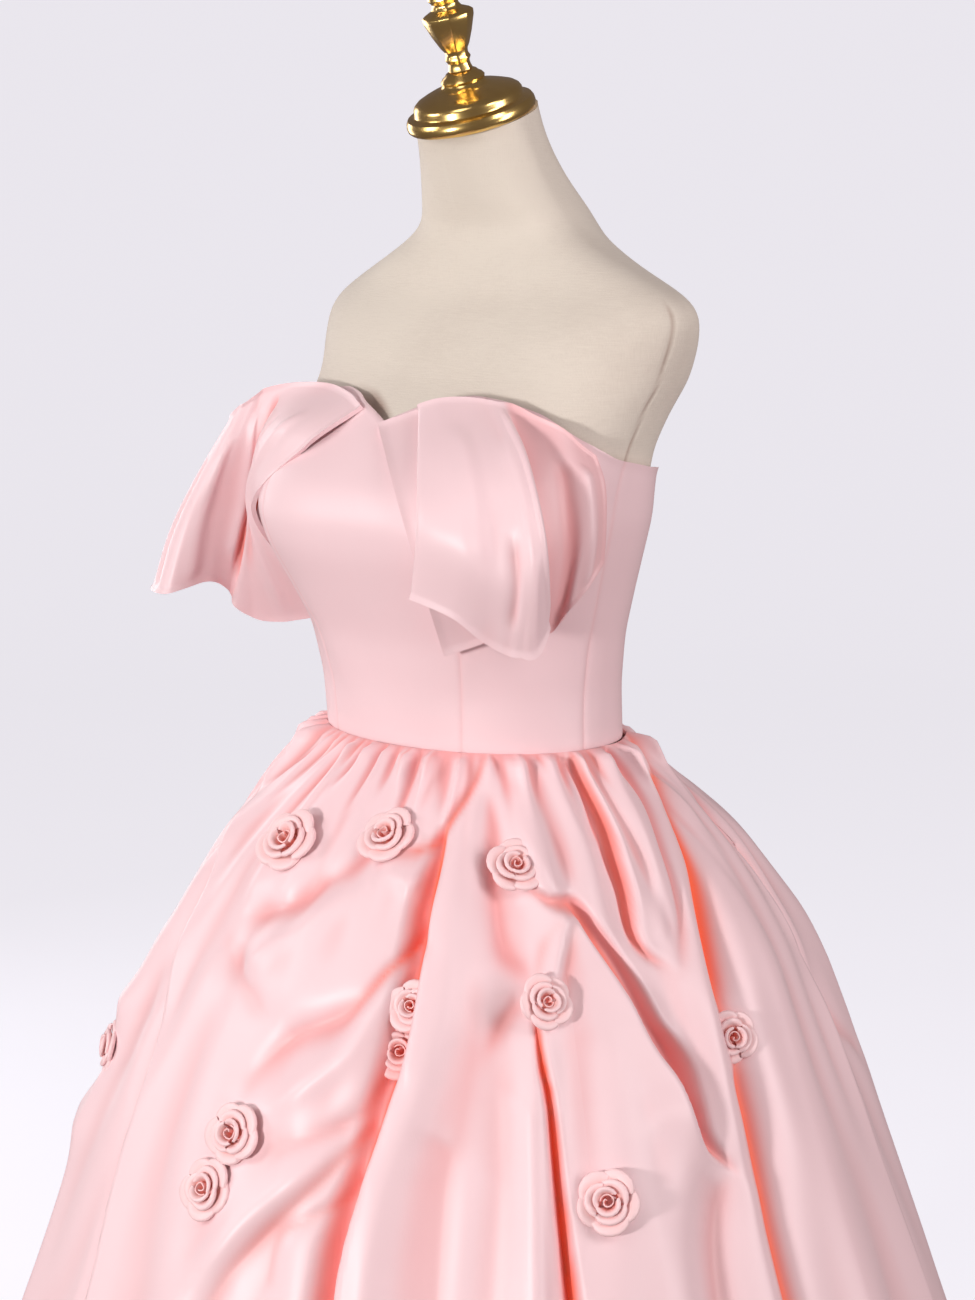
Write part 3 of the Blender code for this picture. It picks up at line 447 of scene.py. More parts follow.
def blur(values: np.ndarray, rows: float, columns: float) -> np.ndarray:
    """Soften a grid of values by a bell of so many rows and columns."""
    for axis, spread in ((0, rows), (1, columns)):
        reach = max(1, int(2.5 * spread))
        share = np.exp(-0.5 * (np.arange(-reach, reach + 1) / spread) ** 2)
        share /= share.sum()
        pad = [(reach, reach) if k == axis else (0, 0) for k in range(values.ndim)]
        wide = np.pad(values, pad, mode="edge")
        values = np.apply_along_axis(lambda line: np.convolve(line, share, mode="valid"), axis, wide)
    return values


def normals_of(points: np.ndarray) -> np.ndarray:
    """Give the unit normal at each point of a grid, by its neighbours."""
    normal = np.cross(np.gradient(points, axis=1), np.gradient(points, axis=0))
    length = np.linalg.norm(normal, axis=-1, keepdims=True)
    return normal / np.maximum(length, 1e-12)


# ------------------------------------------------------------------ mesh helpers
def deselect_all() -> None:
    """Leave object mode's selection empty."""
    if bpy.context.object and bpy.context.object.mode != "OBJECT":
        bpy.ops.object.mode_set(mode="OBJECT")
    bpy.ops.object.select_all(action="DESELECT")


def activate(piece: bpy.types.Object) -> None:
    """Select one object alone and make it the active one."""
    deselect_all()
    piece.select_set(True)
    bpy.context.view_layer.objects.active = piece


def shade(piece: bpy.types.Object, degrees: float) -> None:
    """Shade a piece smooth, but keep edges sharper than an angle."""
    activate(piece)
    bpy.ops.object.shade_smooth_by_angle(angle=math.radians(degrees))
    piece.select_set(False)


def add_piece(name: str, mesh: bpy.types.Mesh, marks: dict[str, np.ndarray]) -> bpy.types.Object:
    """Put a mesh in the scene with named numbers for its points, kept as attributes."""
    for mark, values in marks.items():
        layer = mesh.attributes.new(mark, "FLOAT", "POINT")
        layer.data.foreach_set("value", values.ravel().astype(np.float32))
    piece = bpy.data.objects.new(name, mesh)
    bpy.context.scene.collection.objects.link(piece)
    return piece


def dress(piece: bpy.types.Object, finish: bpy.types.Material, degrees: float, node: str) -> None:
    """Finish a piece and put it in place of its solid.

    Args:
        piece: The piece.
        finish: Its material.
        degrees: Edges sharper than this stay sharp.
        node: The solid that it stands for.
    """
    piece.data.materials.append(finish)
    shade(piece, degrees)
    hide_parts(node)
    LOG.info("%s: %d faces", piece.name, len(piece.data.polygons))


def recolour(name: str, finish: bpy.types.Material) -> None:
    """Give one of the solids a finish, and nothing else."""
    materials = frame["nodes"][name].data.materials
    materials.clear()
    materials.append(finish)


def sheet_faces(rows: int, columns: int) -> np.ndarray:
    """Give the quads that close two matching grids of points, the face's grid first, into a sheet."""
    count = rows * columns
    place = np.arange(count).reshape(rows, columns)
    a, b = place[:-1, :-1].ravel(), place[:-1, 1:].ravel()
    c, d = place[1:, 1:].ravel(), place[1:, :-1].ravel()
    quads = [np.stack([a, b, c, d], 1), np.stack([a, d, c, b], 1) + count]
    for line in (place[0], place[-1, ::-1], place[::-1, 0], place[:, -1]):
        p, q = line[:-1], line[1:]
        quads.append(np.stack([p, p + count, q + count, q], 1))
    return np.concatenate(quads)


def spun(name: str, profile: list[tuple[float, float]], sides: int, merge: float, inside: bool) -> bpy.types.Object:
    """Turn a profile about the upright axis.

    Args:
        name: The piece's name.
        profile: Rows of radius and height.
        sides: How many sides the round has.
        merge: Points closer than this become one.
        inside: Whether its faces look inward.

    Returns:
        The new object, at the origin.
    """
    deselect_all()
    bpy.ops.mesh.primitive_plane_add(size=0.01, location=(0.0, 0.0, 0.0))
    piece = bpy.context.object
    piece.name = piece.data.name = name
    bpy.ops.object.mode_set(mode="EDIT")
    bpy.ops.mesh.select_all(action="SELECT")
    bpy.ops.mesh.delete(type="VERT")
    bpy.ops.object.mode_set(mode="OBJECT")
    piece.data.from_pydata([(r, 0.0, z) for r, z in profile], [(k, k + 1) for k in range(len(profile) - 1)], [])
    bpy.ops.object.mode_set(mode="EDIT")
    bpy.ops.mesh.select_all(action="SELECT")
    bpy.ops.mesh.spin(steps=sides, angle=2.0 * math.pi, center=(0.0, 0.0, 0.0), axis=(0.0, 0.0, 1.0))
    bpy.ops.mesh.select_all(action="SELECT")
    bpy.ops.mesh.remove_doubles(threshold=merge)
    bpy.ops.mesh.normals_make_consistent(inside=inside)
    bpy.ops.object.mode_set(mode="OBJECT")
    return piece


def shell(
    name: str,
    outer: np.ndarray,
    inner: np.ndarray,
    cut: np.ndarray,
    marks: dict[str, np.ndarray],
) -> bpy.types.Object:
    """Make a closed sheet of cloth from two matching grids of points.

    Args:
        name: The piece's name.
        outer: Points of the cloth's face, rows by columns by three.
        inner: Points of its back, in the same order.
        cut: Place of each point on the flat cut, in metres, kept as the UV map.
        marks: Named numbers for each point of the face, kept as attributes.

    Returns:
        The new object.
    """
    faces = sheet_faces(*outer.shape[:2])
    points = np.concatenate([outer.reshape(-1, 3), inner.reshape(-1, 3)])
    mesh = bpy.data.meshes.new(name)
    mesh.vertices.add(len(points))
    mesh.vertices.foreach_set("co", points.astype(np.float32).ravel())
    mesh.loops.add(faces.size)
    mesh.loops.foreach_set("vertex_index", faces.astype(np.int32).ravel())
    mesh.polygons.add(len(faces))
    mesh.polygons.foreach_set("loop_start", np.arange(0, faces.size, 4, dtype=np.int32))
    mesh.update(calc_edges=True)
    flat = np.concatenate([cut.reshape(-1, 2)] * 2)
    layer = mesh.uv_layers.new(name="cut")
    layer.data.foreach_set("uv", flat[faces.ravel()].astype(np.float32).ravel())
    piece = add_piece(name, mesh, {mark: np.concatenate([values.ravel()] * 2) for mark, values in marks.items()})
    mesh.validate()
    work = bmesh.new()
    work.from_mesh(mesh)
    if work.calc_volume(signed=True) < 0:
        bmesh.ops.reverse_faces(work, faces=work.faces)
        work.to_mesh(mesh)
    work.free()
    return piece


# ------------------------------------------------------------------ shader graph
class Number:
    """A varying number in a material, with Python's arithmetic."""

    def __init__(self, graph: "Graph", socket: bpy.types.NodeSocket) -> None:
        """Wrap the output socket that gives the number."""
        self.graph = graph
        self.socket = socket

    def _math(self, operation: str, first: object, second: object = 0.0) -> "Number":
        """Add a Math node and give its result."""
        node = self.graph.node("ShaderNodeMath", {"operation": operation}, {0: first, 1: second})
        return Number(self.graph, node.outputs[0])

    def __add__(self, other: object) -> "Number":
        """Add."""
        return self._math("ADD", self, other)

    def __radd__(self, other: object) -> "Number":
        """Add to a plain number."""
        return self._math("ADD", other, self)

    def __sub__(self, other: object) -> "Number":
        """Subtract."""
        return self._math("SUBTRACT", self, other)

    def __mul__(self, other: object) -> "Number":
        """Multiply."""
        return self._math("MULTIPLY", self, other)

    def __pow__(self, other: object) -> "Number":
        """Raise to a power."""
        return self._math("POWER", self, other)


class Graph:
    """A material under construction: its nodes, and the one shader they feed."""

    def __init__(self, name: str) -> None:
        """Start a material with a plain surface shader."""
        self.material = bpy.data.materials.new(name)
        self.material.use_nodes = True
        self.tree = self.material.node_tree
        self.shader = self.tree.nodes["Principled BSDF"]

    def node(self, kind: str, settings: dict[str, object], sockets: dict[object, object]) -> bpy.types.Node:
        """Add one node.

        Args:
            kind: The node's type.
            settings: Its own settings, set before the sockets are read.
            sockets: Values or links for its inputs, by name or number.

        Returns:
            The new node.
        """
        made = self.tree.nodes.new(kind)
        for key, value in settings.items():
            if key == "stops":
                ramp = made.color_ramp
                while len(ramp.elements) < len(value):
                    ramp.elements.new(0.5)
                for stop, (position, colour) in zip(ramp.elements, value):
                    stop.position = position
                    stop.color = colour
            else:
                setattr(made, key, value)
        self.feed(made, sockets)
        return made

    def feed(self, node: bpy.types.Node, sockets: dict[object, object]) -> None:
        """Give a node's inputs their values or links."""
        for key, value in sockets.items():
            socket = node.inputs[key]
            if isinstance(value, Number):
                value = value.socket
            if isinstance(value, bpy.types.NodeSocket):
                self.tree.links.new(value, socket)
            elif isinstance(value, tuple) and len(value) == 3 and socket.type == "RGBA":
                socket.default_value = (*value, 1.0)
            else:
                socket.default_value = value

    def mark(self, name: str) -> Number:
        """Read a named number of the mesh."""
        node = self.node("ShaderNodeAttribute", {"attribute_name": name}, {})
        return Number(self, node.outputs["Fac"])

    def place(self, scale: tuple[float, float, float] = (1.0, 1.0, 1.0), cut: bool = False) -> bpy.types.NodeSocket:
        """Give the place on the object, or on its flat cut, stretched by a scale."""
        source = self.node("ShaderNodeTexCoord", {}, {}).outputs["UV" if cut else "Object"]
        node = self.node("ShaderNodeVectorMath", {"operation": "MULTIPLY"}, {0: source, 1: scale})
        return node.outputs[0]

    def noise(self, place: bpy.types.NodeSocket, scale: float, detail: float = 2.0) -> Number:
        """Give a cloudy number from 0 to 1 over a place."""
        node = self.node("ShaderNodeTexNoise", {}, {"Vector": place, "Scale": scale, "Detail": detail})
        return Number(self, node.outputs["Fac"])

    def mix(self, first: object, second: object, share: object) -> bpy.types.NodeSocket:
        """Mix two colours by a share from 0 to 1."""
        settings = {"data_type": "RGBA", "clamp_factor": True}
        return self.node("ShaderNodeMix", settings, {0: share, 6: first, 7: second}).outputs[2]

    def bump(self, height: Number, strength: float, distance: float) -> bpy.types.NodeSocket:
        """Give a normal that follows a small relief."""
        sockets = {"Height": height, "Strength": strength, "Distance": distance}
        return self.node("ShaderNodeBump", {}, sockets).outputs["Normal"]

    def surface(self, sockets: dict[object, object]) -> bpy.types.Material:
        """Feed the surface shader and give the finished material."""
        self.feed(self.shader, sockets)
        return self.material


# ------------------------------------------------------------------ finishes
@dataclass(frozen=True)
class SatinFinish:
    """Smooth dress satin, with painted shade where it sinks back and painted coral shade and glow in its creases."""

    name: str = "duchess_satin"
    # the satin's colour in full light, its painted shade, and the painted deep shade of its creases
    lit: Colour = (0.93, 0.675, 0.70)
    painted_shade_pink: Colour = (0.87, 0.40, 0.40)
    painted_crease_shade: Colour = (0.86, 0.13, 0.05)
    roughness: float = 0.39

    def make(self) -> bpy.types.Material:
        """Build the material."""
        g = Graph(self.name)
        # painted shade: deep coral shade in the creases and pinker shade where the cloth sinks back
        crease = g.mark("crease")
        hollow = g.mark("hollow")
        cloud = g.noise(g.place(), 7.0, 3.0)
        base = g.mix(self.lit, self.painted_shade_pink, hollow + cloud * 0.10 - 0.03)
        base = g.mix(base, self.painted_crease_shade, crease)
        threads = g.noise(g.place((2200.0, 420.0, 1.0), cut=True), 1.0, 1.0)
        drag = g.noise(g.place(), 26.0, 2.0)
        relief = threads * 0.25 + drag
        return g.surface({
            "Base Color": base,
            "Roughness": self.roughness + cloud * 0.08 + crease * 0.3,
            "Normal": g.bump(relief, 0.10, 0.002),
            # painted glow: the creases give off coral light of their own
            "Emission Color": g.mix(BLACK, (0.80, 0.10, 0.04), crease**1.6),
            "Emission Strength": 0.26,
            "Sheen Weight": 0.15,
            "Sheen Roughness": 0.4,
            "Sheen Tint": (1.0, 0.90, 0.90, 1.0),
            "Specular IOR Level": 0.50,
        })


@dataclass(frozen=True)
class RoseFinish:
    """Satin of the roses: painted shade from the pale rims to a warm heart, and painted deep shade and glow inside."""

    name: str = "rose_satin"
    rim: Colour = (0.96, 0.67, 0.68)
    # heart and deep are painted shade colours, laid on towards each petal's foot and deep inside the rose
    heart: Colour = (0.92, 0.40, 0.34)
    deep: Colour = (0.86, 0.26, 0.18)

    def make(self) -> bpy.types.Material:
        """Build the material."""
        g = Graph(self.name)
        shade_of = g.mark("hollow")
        crease = g.mark("crease")
        cloud = g.noise(g.place(), 60.0, 2.0)
        base = g.mix(self.rim, self.heart, shade_of + cloud * 0.12 - 0.06)
        base = g.mix(base, self.deep, crease)
        threads = g.noise(g.place(), 900.0, 1.0)
        return g.surface({
            "Base Color": base,
            "Roughness": 0.42 + cloud * 0.1,
            "Normal": g.bump(threads, 0.08, 0.0006),
            # painted glow deep inside the rose
            "Emission Color": g.mix(BLACK, (0.80, 0.16, 0.09), crease),
            "Emission Strength": 0.12,
            "Sheen Weight": 0.2,
            "Sheen Tint": (1.0, 0.88, 0.86, 1.0),
        })


@dataclass(frozen=True)
class ZipFinish:
    """Matt tape and fine coil of the closed back zip."""

    name: str = "zip_tape"
    tape: Colour = (0.80, 0.55, 0.55)

    def make(self) -> bpy.types.Material:
        """Build the material."""
        g = Graph(self.name)
        settings = {"wave_type": "BANDS", "bands_direction": "Z"}
        coil = g.node("ShaderNodeTexWave", settings, {"Vector": g.place(), "Scale": 95.0})
        teeth = Number(g, coil.outputs["Fac"])
        base = g.mix(self.tape, (0.60, 0.36, 0.36), teeth)
        return g.surface({"Base Color": base, "Roughness": 0.6, "Normal": g.bump(teeth, 0.5, 0.0008)})


@dataclass(frozen=True)
class LinenFinish:
    """Plain cream linen drawn over the form, with a fine slubby weave."""

    name: str = "form_linen"
    cream: Colour = (0.74, 0.66, 0.57)
    tan: Colour = (0.56, 0.47, 0.40)

    def make(self) -> bpy.types.Material:
        """Build the material."""
        g = Graph(self.name)
        warp = g.noise(g.place((1400.0, 1400.0, 90.0)), 1.0, 2.0)
        weft = g.noise(g.place((90.0, 90.0, 1500.0)), 1.0, 2.0)
        smudge = g.noise(g.place(), 9.0, 4.0)
        weave = warp * 0.5 + weft * 0.5
        base = g.mix(self.cream, self.tan, weave - 0.42 + (smudge - 0.5) * 0.9)
        # dark brown along the real seam lines, and as painted shadow under the bodice's top edge
        base = g.mix(base, (0.34, 0.22, 0.17), g.mark("seam") * 0.6)
        return g.surface({
            "Base Color": base,
            "Roughness": 0.86 + smudge * 0.08,
            "Normal": g.bump(weave, 0.35, 0.0008),
            "Sheen Weight": 0.2,
        })


@dataclass(frozen=True)
class GiltFinish:
    """Polished gilt metal, a little darker where hands leave it."""

    name: str = "gilt"
    bright: Colour = (0.94, 0.66, 0.24)
    dull: Colour = (0.48, 0.26, 0.07)

    def make(self) -> bpy.types.Material:
        """Build the material."""
        g = Graph(self.name)
        tarnish = g.noise(g.place(), 28.0, 4.0)
        base = g.mix(self.bright, self.dull, tarnish * 0.9 - 0.25)
        return g.surface({
            "Base Color": base,
            "Metallic": 1.0,
            "Roughness": 0.14 + tarnish * 0.16,
            "Normal": g.bump(tarnish, 0.05, 0.001),
        })


@dataclass(frozen=True)
class StudioFinish:
    """Matt pale paper of the floor and backdrop."""

    name: str = "studio_paper"
    paper: Colour = (0.36, 0.35, 0.38)

    def make(self) -> bpy.types.Material:
        """Build the material."""
        g = Graph(self.name)
        grain = g.noise(g.place(), 3.0, 3.0)
        base = g.mix(self.paper, (0.33, 0.32, 0.35), grain)
        return g.surface({
            "Base Color": base,
            "Roughness": 0.9,
            "Emission Color": (0.92, 0.90, 0.96, 1.0),
            "Emission Strength": 0.80,
        })


# ------------------------------------------------------------------ skirt
@dataclass
class Panel:
    """One panel of the skirt between two seams."""

    node: str
    first: float
    last: float
    step: float


@dataclass
class Skirt:
    """The gathered full skirt: five panels of satin with placed folds."""

    # every length is in metres, every spread and step across in degrees
    panels: tuple[Panel, ...] = (
        Panel("skirt_front", -58.0, 58.0, 0.49),
        Panel("skirt_side_left", 58.0, 122.0, 0.40),
        Panel("skirt_back_left", 122.0, 180.0, 0.75),
        Panel("skirt_back_right", 180.0, 238.0, 0.75),
        Panel("skirt_side_right", 238.0, 302.0, 0.62),
    )
    fine_step: float = 0.0030
    fine_until: float = 0.46
    coarse_step: float = 0.0105
    margin: int = 9  # columns past each seam, for softening
    gathers: int = 72
    gather_lengths: tuple[float, ...] = (0.035, 0.05, 0.07, 0.11, 0.17)
    gather_sizes: tuple[float, ...] = (0.0026, 0.0040, 0.0065, 0.0095)
    slit_width: float = 0.0026
    puff_drop: float = 0.011
    puff_width: float = 0.009
    ripples: int = 18
    ripple_height: float = 0.00045
    lap_edge: float = 0.0068
    lap_pull: float = 0.55
    most_strength: float = 1.4
    soften_rows: float = 0.6
    soften_spread: float = 0.34
    seam_drop: float = 0.005
    seam_puff: float = 0.0022
    seam_rise: float = 0.0045
    hollow_radius: float = 0.24
    cut_length: float = 1.10
    cut_spare: float = 0.05
    cut_share: float = 0.78
    seed: int = 5
    pieces: list[bpy.types.Object] = field(default_factory=list)

    def rows(self) -> np.ndarray:
        """Give the drops of the mesh rows, close together where folds are fine."""
        close = np.arange(0.0, self.fine_until, self.fine_step)
        hem = WAIST_Z - SEAM_GAP - HEM_Z
        count = int((hem - self.fine_until) / self.coarse_step)
        return np.concatenate([close, np.linspace(self.fine_until, hem, count)])

    def base(self, degrees: np.ndarray, drop: np.ndarray) -> np.ndarray:
        """Give the radius of the skirt without its folds."""
        at_waist = BODY_SHAPE.point(degrees, np.full_like(degrees, WAIST_Z), BODICE_CLEARANCE + BODICE_WALL)
        waist = np.hypot(at_waist[..., 0], at_waist[..., 1])
        bell = BELL_CURVE(drop)
        mix = smooth(drop / 0.10)
        return (waist + bell - BELL[0][1]) * (1.0 - mix) + bell * mix

    def distances(self, degrees: np.ndarray, drop: np.ndarray, line: np.ndarray) -> tuple[np.ndarray, np.ndarray]:
        """Give each point's signed distance from a fold line, and the line's strength there.

        Args:
            degrees: Turn of each point.
            drop: Drop of each point.
            line: Rows of degrees, drop and strength, close together.

        Returns:
            Distance in metres, above 0 on the right of the line, and strength.
        """
        scale = np.radians(1.0) * BELL_CURVE(drop)
        best = np.full(degrees.shape, NEVER)
        signed = np.full(degrees.shape, NEVER)
        strength = np.zeros(degrees.shape)
        for (d0, h0, s0), (d1, h1, s1) in zip(line[:-1], line[1:]):
            ax = (d0 - degrees) * scale
            ay = h0 - drop
            dx = (d1 - d0) * scale
            dy = h1 - h0
            t = np.clip(-(ax * dx + ay * dy) / np.maximum(dx * dx + dy * dy, 1e-12), 0.0, 1.0)
            ex = ax + t * dx
            ey = ay + t * dy
            gap = np.hypot(ex, ey)
            side = np.where(dx * ey - dy * ex > 0, 1.0, -1.0)
            nearer = gap < best
            best = np.where(nearer, gap, best)
            signed = np.where(nearer, gap * side, signed)
            strength = np.where(nearer, s0 + (s1 - s0) * t, strength)
        return signed, strength

    def relief(self, degrees: np.ndarray, drop: np.ndarray) -> tuple[np.ndarray, np.ndarray, np.ndarray]:
        """Add up all folds.

        Args:
            degrees: Turn of each point, rows by columns.
            drop: Drop of each point.

        Returns:
            Distance out, distance along to the wearer's left, and strength of painted shade and glow in the creases
            from 0 to 1.
        """
        out = np.zeros(degrees.shape)
        along = np.zeros(degrees.shape)
        crease = np.zeros(degrees.shape)
        for fold in FOLDS:
            line = np.array(fold.line)
            reach_m = 3.0 * max(fold.width, fold.recess + fold.soft)
            for turn in (-FULL_TURN, 0.0, FULL_TURN):
                shifted = line + np.array([turn, 0.0, 0.0])
                near = np.degrees(reach_m / BELL_CURVE(max(0.0, line[0, 1])))
                columns = (degrees[0] > shifted[:, 0].min() - near) & (degrees[0] < shifted[:, 0].max() + near)
                levels = (drop[:, 0] > line[:, 1].min() - reach_m) & (drop[:, 0] < line[:, 1].max() + reach_m)
                if not columns.any() or not levels.any():
                    continue
                patch = np.ix_(levels, columns)
                self.apply(fold, self.curve(shifted), degrees[patch], drop[patch], patch, out, along, crease)
        self.gather(degrees, drop, out, crease)
        out += self.ripple(degrees, drop)
        hold = smooth(drop / 0.007)
        return out * hold, along * hold, np.clip(crease, 0.0, 1.0)

    def curve(self, line: np.ndarray) -> np.ndarray:
        """Round a fold line's corners by a smooth curve through its points."""
        points = []
        for k in range(len(line) - 1):
            p0, p1, p2, p3 = (line[min(max(k + n, 0), len(line) - 1)] for n in (-1, 0, 1, 2))
            for f in np.linspace(0.0, 1.0, 4, endpoint=False):
                points.append(0.5 * (2 * p1 + (p2 - p0) * f + (2 * p0 - 5 * p1 + 4 * p2 - p3) * f**2
                                     + (3 * p1 - p0 - 3 * p2 + p3) * f**3))
        points.append(line[-1])
        return np.array(points)

    def apply(
        self,
        fold: Fold,
        line: np.ndarray,
        degrees: np.ndarray,
        drop: np.ndarray,
        patch: tuple[np.ndarray, ...],
        out: np.ndarray,
        along: np.ndarray,
        crease: np.ndarray,
    ) -> None:
        """Press one fold into a patch of the grid.

        Args:
            fold: The fold.
            line: Its line, finely divided.
            degrees: Turn of the patch's points.
            drop: Drop of the patch's points.
            patch: Where the patch lies in the grid.
            out: Distance out, added to.
            along: Distance along, added to.
            crease: Strength of painted shade and glow in the creases, raised where the fold is deeper.
        """
        s, k = self.distances(degrees, drop, line)
        k = np.clip(k, 0.0, self.most_strength)
        if fold.lie is Lie.RIDGE:
            out[patch] += fold.height * k * bell(s, fold.width, 1.6)
            return
        if fold.lie in (Lie.TROUGH, Lie.SLIT):
            shape = bell(s, fold.width, 1.5 if fold.lie is Lie.TROUGH else 1.15)
            out[patch] -= fold.depth * k * shape
            # painted shade and glow down the fold's hollow
            glow = fold.glow * k * (shape**2.5 if fold.lie is Lie.SLIT else 0.35 * shape**4)
            crease[patch] = np.maximum(crease[patch], glow)
            return
        over = 1.0 if fold.lie is Lie.RIGHT_OVER else -1.0
        u = over * s
        edge = smooth((u + 0.5 * self.lap_edge) / self.lap_edge)
        lip = fold.height * k * bell(u, fold.width, 1.5)
        far = smooth((-u - fold.recess * k) / (fold.soft * np.maximum(k, 0.3)))
        pit = -fold.depth * k * (1.0 - far)
        out[patch] += lip * edge + pit * (1.0 - edge)
        along[patch] -= over * self.lap_pull * fold.recess * k * edge * bell(u, 0.012)
        # painted coral shade and glow in the recess under the lap
        recess_shade = (1.0 - smooth((-u - 0.6 * fold.recess * k) / 0.0045)) * (1.0 - smooth((u + 0.0006) / 0.002))
        crease[patch] = np.maximum(crease[patch], fold.glow * np.minimum(1.0, self.most_strength * k) * recess_shade)

    def ripple(self, degrees: np.ndarray, drop: np.ndarray) -> np.ndarray:
        """Give the slight unevenness of cloth between its folds."""
        random = np.random.default_rng(self.seed + 1)
        wave = np.zeros(degrees.shape)
        for _ in range(self.ripples):
            cycles = int(random.integers(11, 42)) * random.choice((-1, 1))
            fall = random.uniform(6.0, 26.0)
            start = random.uniform(0.0, 6.28)
            wave += self.ripple_height * np.sin(np.radians(degrees) * cycles + fall * drop + start)
        return wave * smooth(drop / 0.08)

    def gather(self, degrees: np.ndarray, drop: np.ndarray, out: np.ndarray, crease: np.ndarray) -> None:
        """Add the small uneven gathers under the waist seam, with painted shade and glow in their troughs."""
        random = np.random.default_rng(self.seed)
        radius = np.radians(1.0) * BELL_CURVE(drop)
        for k in range(self.gathers):
            turn = FULL_TURN * (k + random.uniform(-0.35, 0.35)) / self.gathers
            drift = random.uniform(-60.0, 60.0)
            length = random.choice(self.gather_lengths)
            size = random.choice(self.gather_sizes)
            width = random.uniform(0.0026, 0.0050)
            away = half_turn(degrees - turn - drift * drop) * radius
            shape = bell(away, width * (1.0 + 8.0 * drop)) * (1.0 - smooth(drop / length))
            out += (size if k % 2 else -size) * shape
            if k % 2:
                out += 0.6 * size * bell(away, self.puff_width) * bell(drop - self.puff_drop, self.puff_width)
            else:
                # painted shade and glow in the trough
                np.maximum(crease, 22.0 * size * shape**4 * smooth(drop / 0.003), out=crease)
        for top, end, length, depth in GATHER_SLITS:
            line = top + (end - top) * np.clip(drop / length, 0.0, 1.0)
            shape = bell(half_turn(degrees - line) * radius, self.slit_width, 1.4) * (1.0 - smooth(drop / length))
            out -= depth * shape
            # painted shade and glow in the pinched slit
            np.maximum(crease, 0.5 * shape**3 * smooth(drop / 0.003), out=crease)

    def surface(self, degrees: np.ndarray, drop: np.ndarray) -> tuple[np.ndarray, np.ndarray, np.ndarray]:
        """Give points of the skirt's face, the marks of painted shade and glow in its creases, and the radius grid.

        Args:
            degrees: Turn of each point, rows by columns.
            drop: Drop of each point.

        Returns:
            Points, strength of painted shade and glow in the creases, and distance from the axis.
        """
        out, along, crease = self.relief(degrees, drop)
        spread = self.soften_spread / (degrees[0, 1] - degrees[0, 0])
        out, along = (blur(values, self.soften_rows, spread) for values in (out, along))
        radius = self.base(degrees, drop) + out
        angle = np.radians(degrees) + along / np.maximum(radius, 0.05)
        lift = (0.0013 + 0.55 * np.maximum(0.0, out)) * bell(drop - self.seam_drop, 0.006)
        radius = radius + self.seam_puff * bell(drop - self.seam_drop, 0.005)
        height = WAIST_Z - SEAM_GAP - drop + np.minimum(lift, self.seam_rise)
        points = np.stack([radius * np.sin(angle), -radius * np.cos(angle), height], axis=-1)
        return points, crease, radius

    def hollow_shades(self, radius: np.ndarray, drop: np.ndarray, step: float) -> np.ndarray:
        """Mark from 0 to 1 how far each point lies back from the cloth round it, as painted shade."""
        size = (radius / self.hollow_radius) ** 1.5
        broad = (blur(radius, 0.3, 3.4 / step) - radius) / size
        level = (blur(radius, 4.0, 0.3) - radius) * (1.0 - smooth((drop - 0.38) / 0.06))
        fine = (blur(radius, 0.3, 1.2 / step) - radius) / size
        return blur(np.clip(broad / 0.010 + level / 0.005 + fine / 0.0040, 0.0, 1.0), 0.8, 1.0)

    def build(self, finish: bpy.types.Material) -> None:
        """Make the five panels and put them in place of their solids."""
        drops = self.rows()
        for panel in self.panels:
            angle = panel.last - panel.first
            count = int(round(angle / panel.step))
            turns = panel.first + angle * np.arange(-self.margin, count + self.margin + 1) / count
            degrees, drop = np.meshgrid(turns, drops)
            points, crease, radius = self.surface(degrees, drop)
            normal = normals_of(points)
            outward = np.sum(normal * points * np.array([1.0, 1.0, 0.0]), axis=-1).mean()
            normal *= 1.0 if outward > 0 else -1.0
            keep = slice(self.margin, self.margin + count + 1)
            cut = np.stack([np.radians(degrees) * radius, drop], axis=-1)
            # painted shade: deep coral shade and glow in the creases, pinker shade where the cloth lies back
            marks = {
                "crease": np.clip(blur(crease, 0.5, 0.6), 0.0, 1.0)[:, keep],
                "hollow": self.hollow_shades(radius, drop, panel.step)[:, keep],
            }
            inner = (points - normal * SKIRT_WALL)[:, keep]
            piece = shell(panel.node.replace("skirt", "satin_skirt"), points[:, keep], inner, cut[:, keep], marks)
            dress(piece, finish, 75.0, panel.node)
            self.pieces.append(piece)

    def tree(self) -> BVHTree:
        """Give a search tree over the finished panels' faces."""
        points: list[Vector] = []
        faces: list[tuple[int, ...]] = []
        for piece in self.pieces:
            start = len(points)
            points += [v.co.copy() for v in piece.data.vertices]
            faces += [tuple(start + i for i in f.vertices) for f in piece.data.polygons]
        return BVHTree.FromPolygons(points, faces)


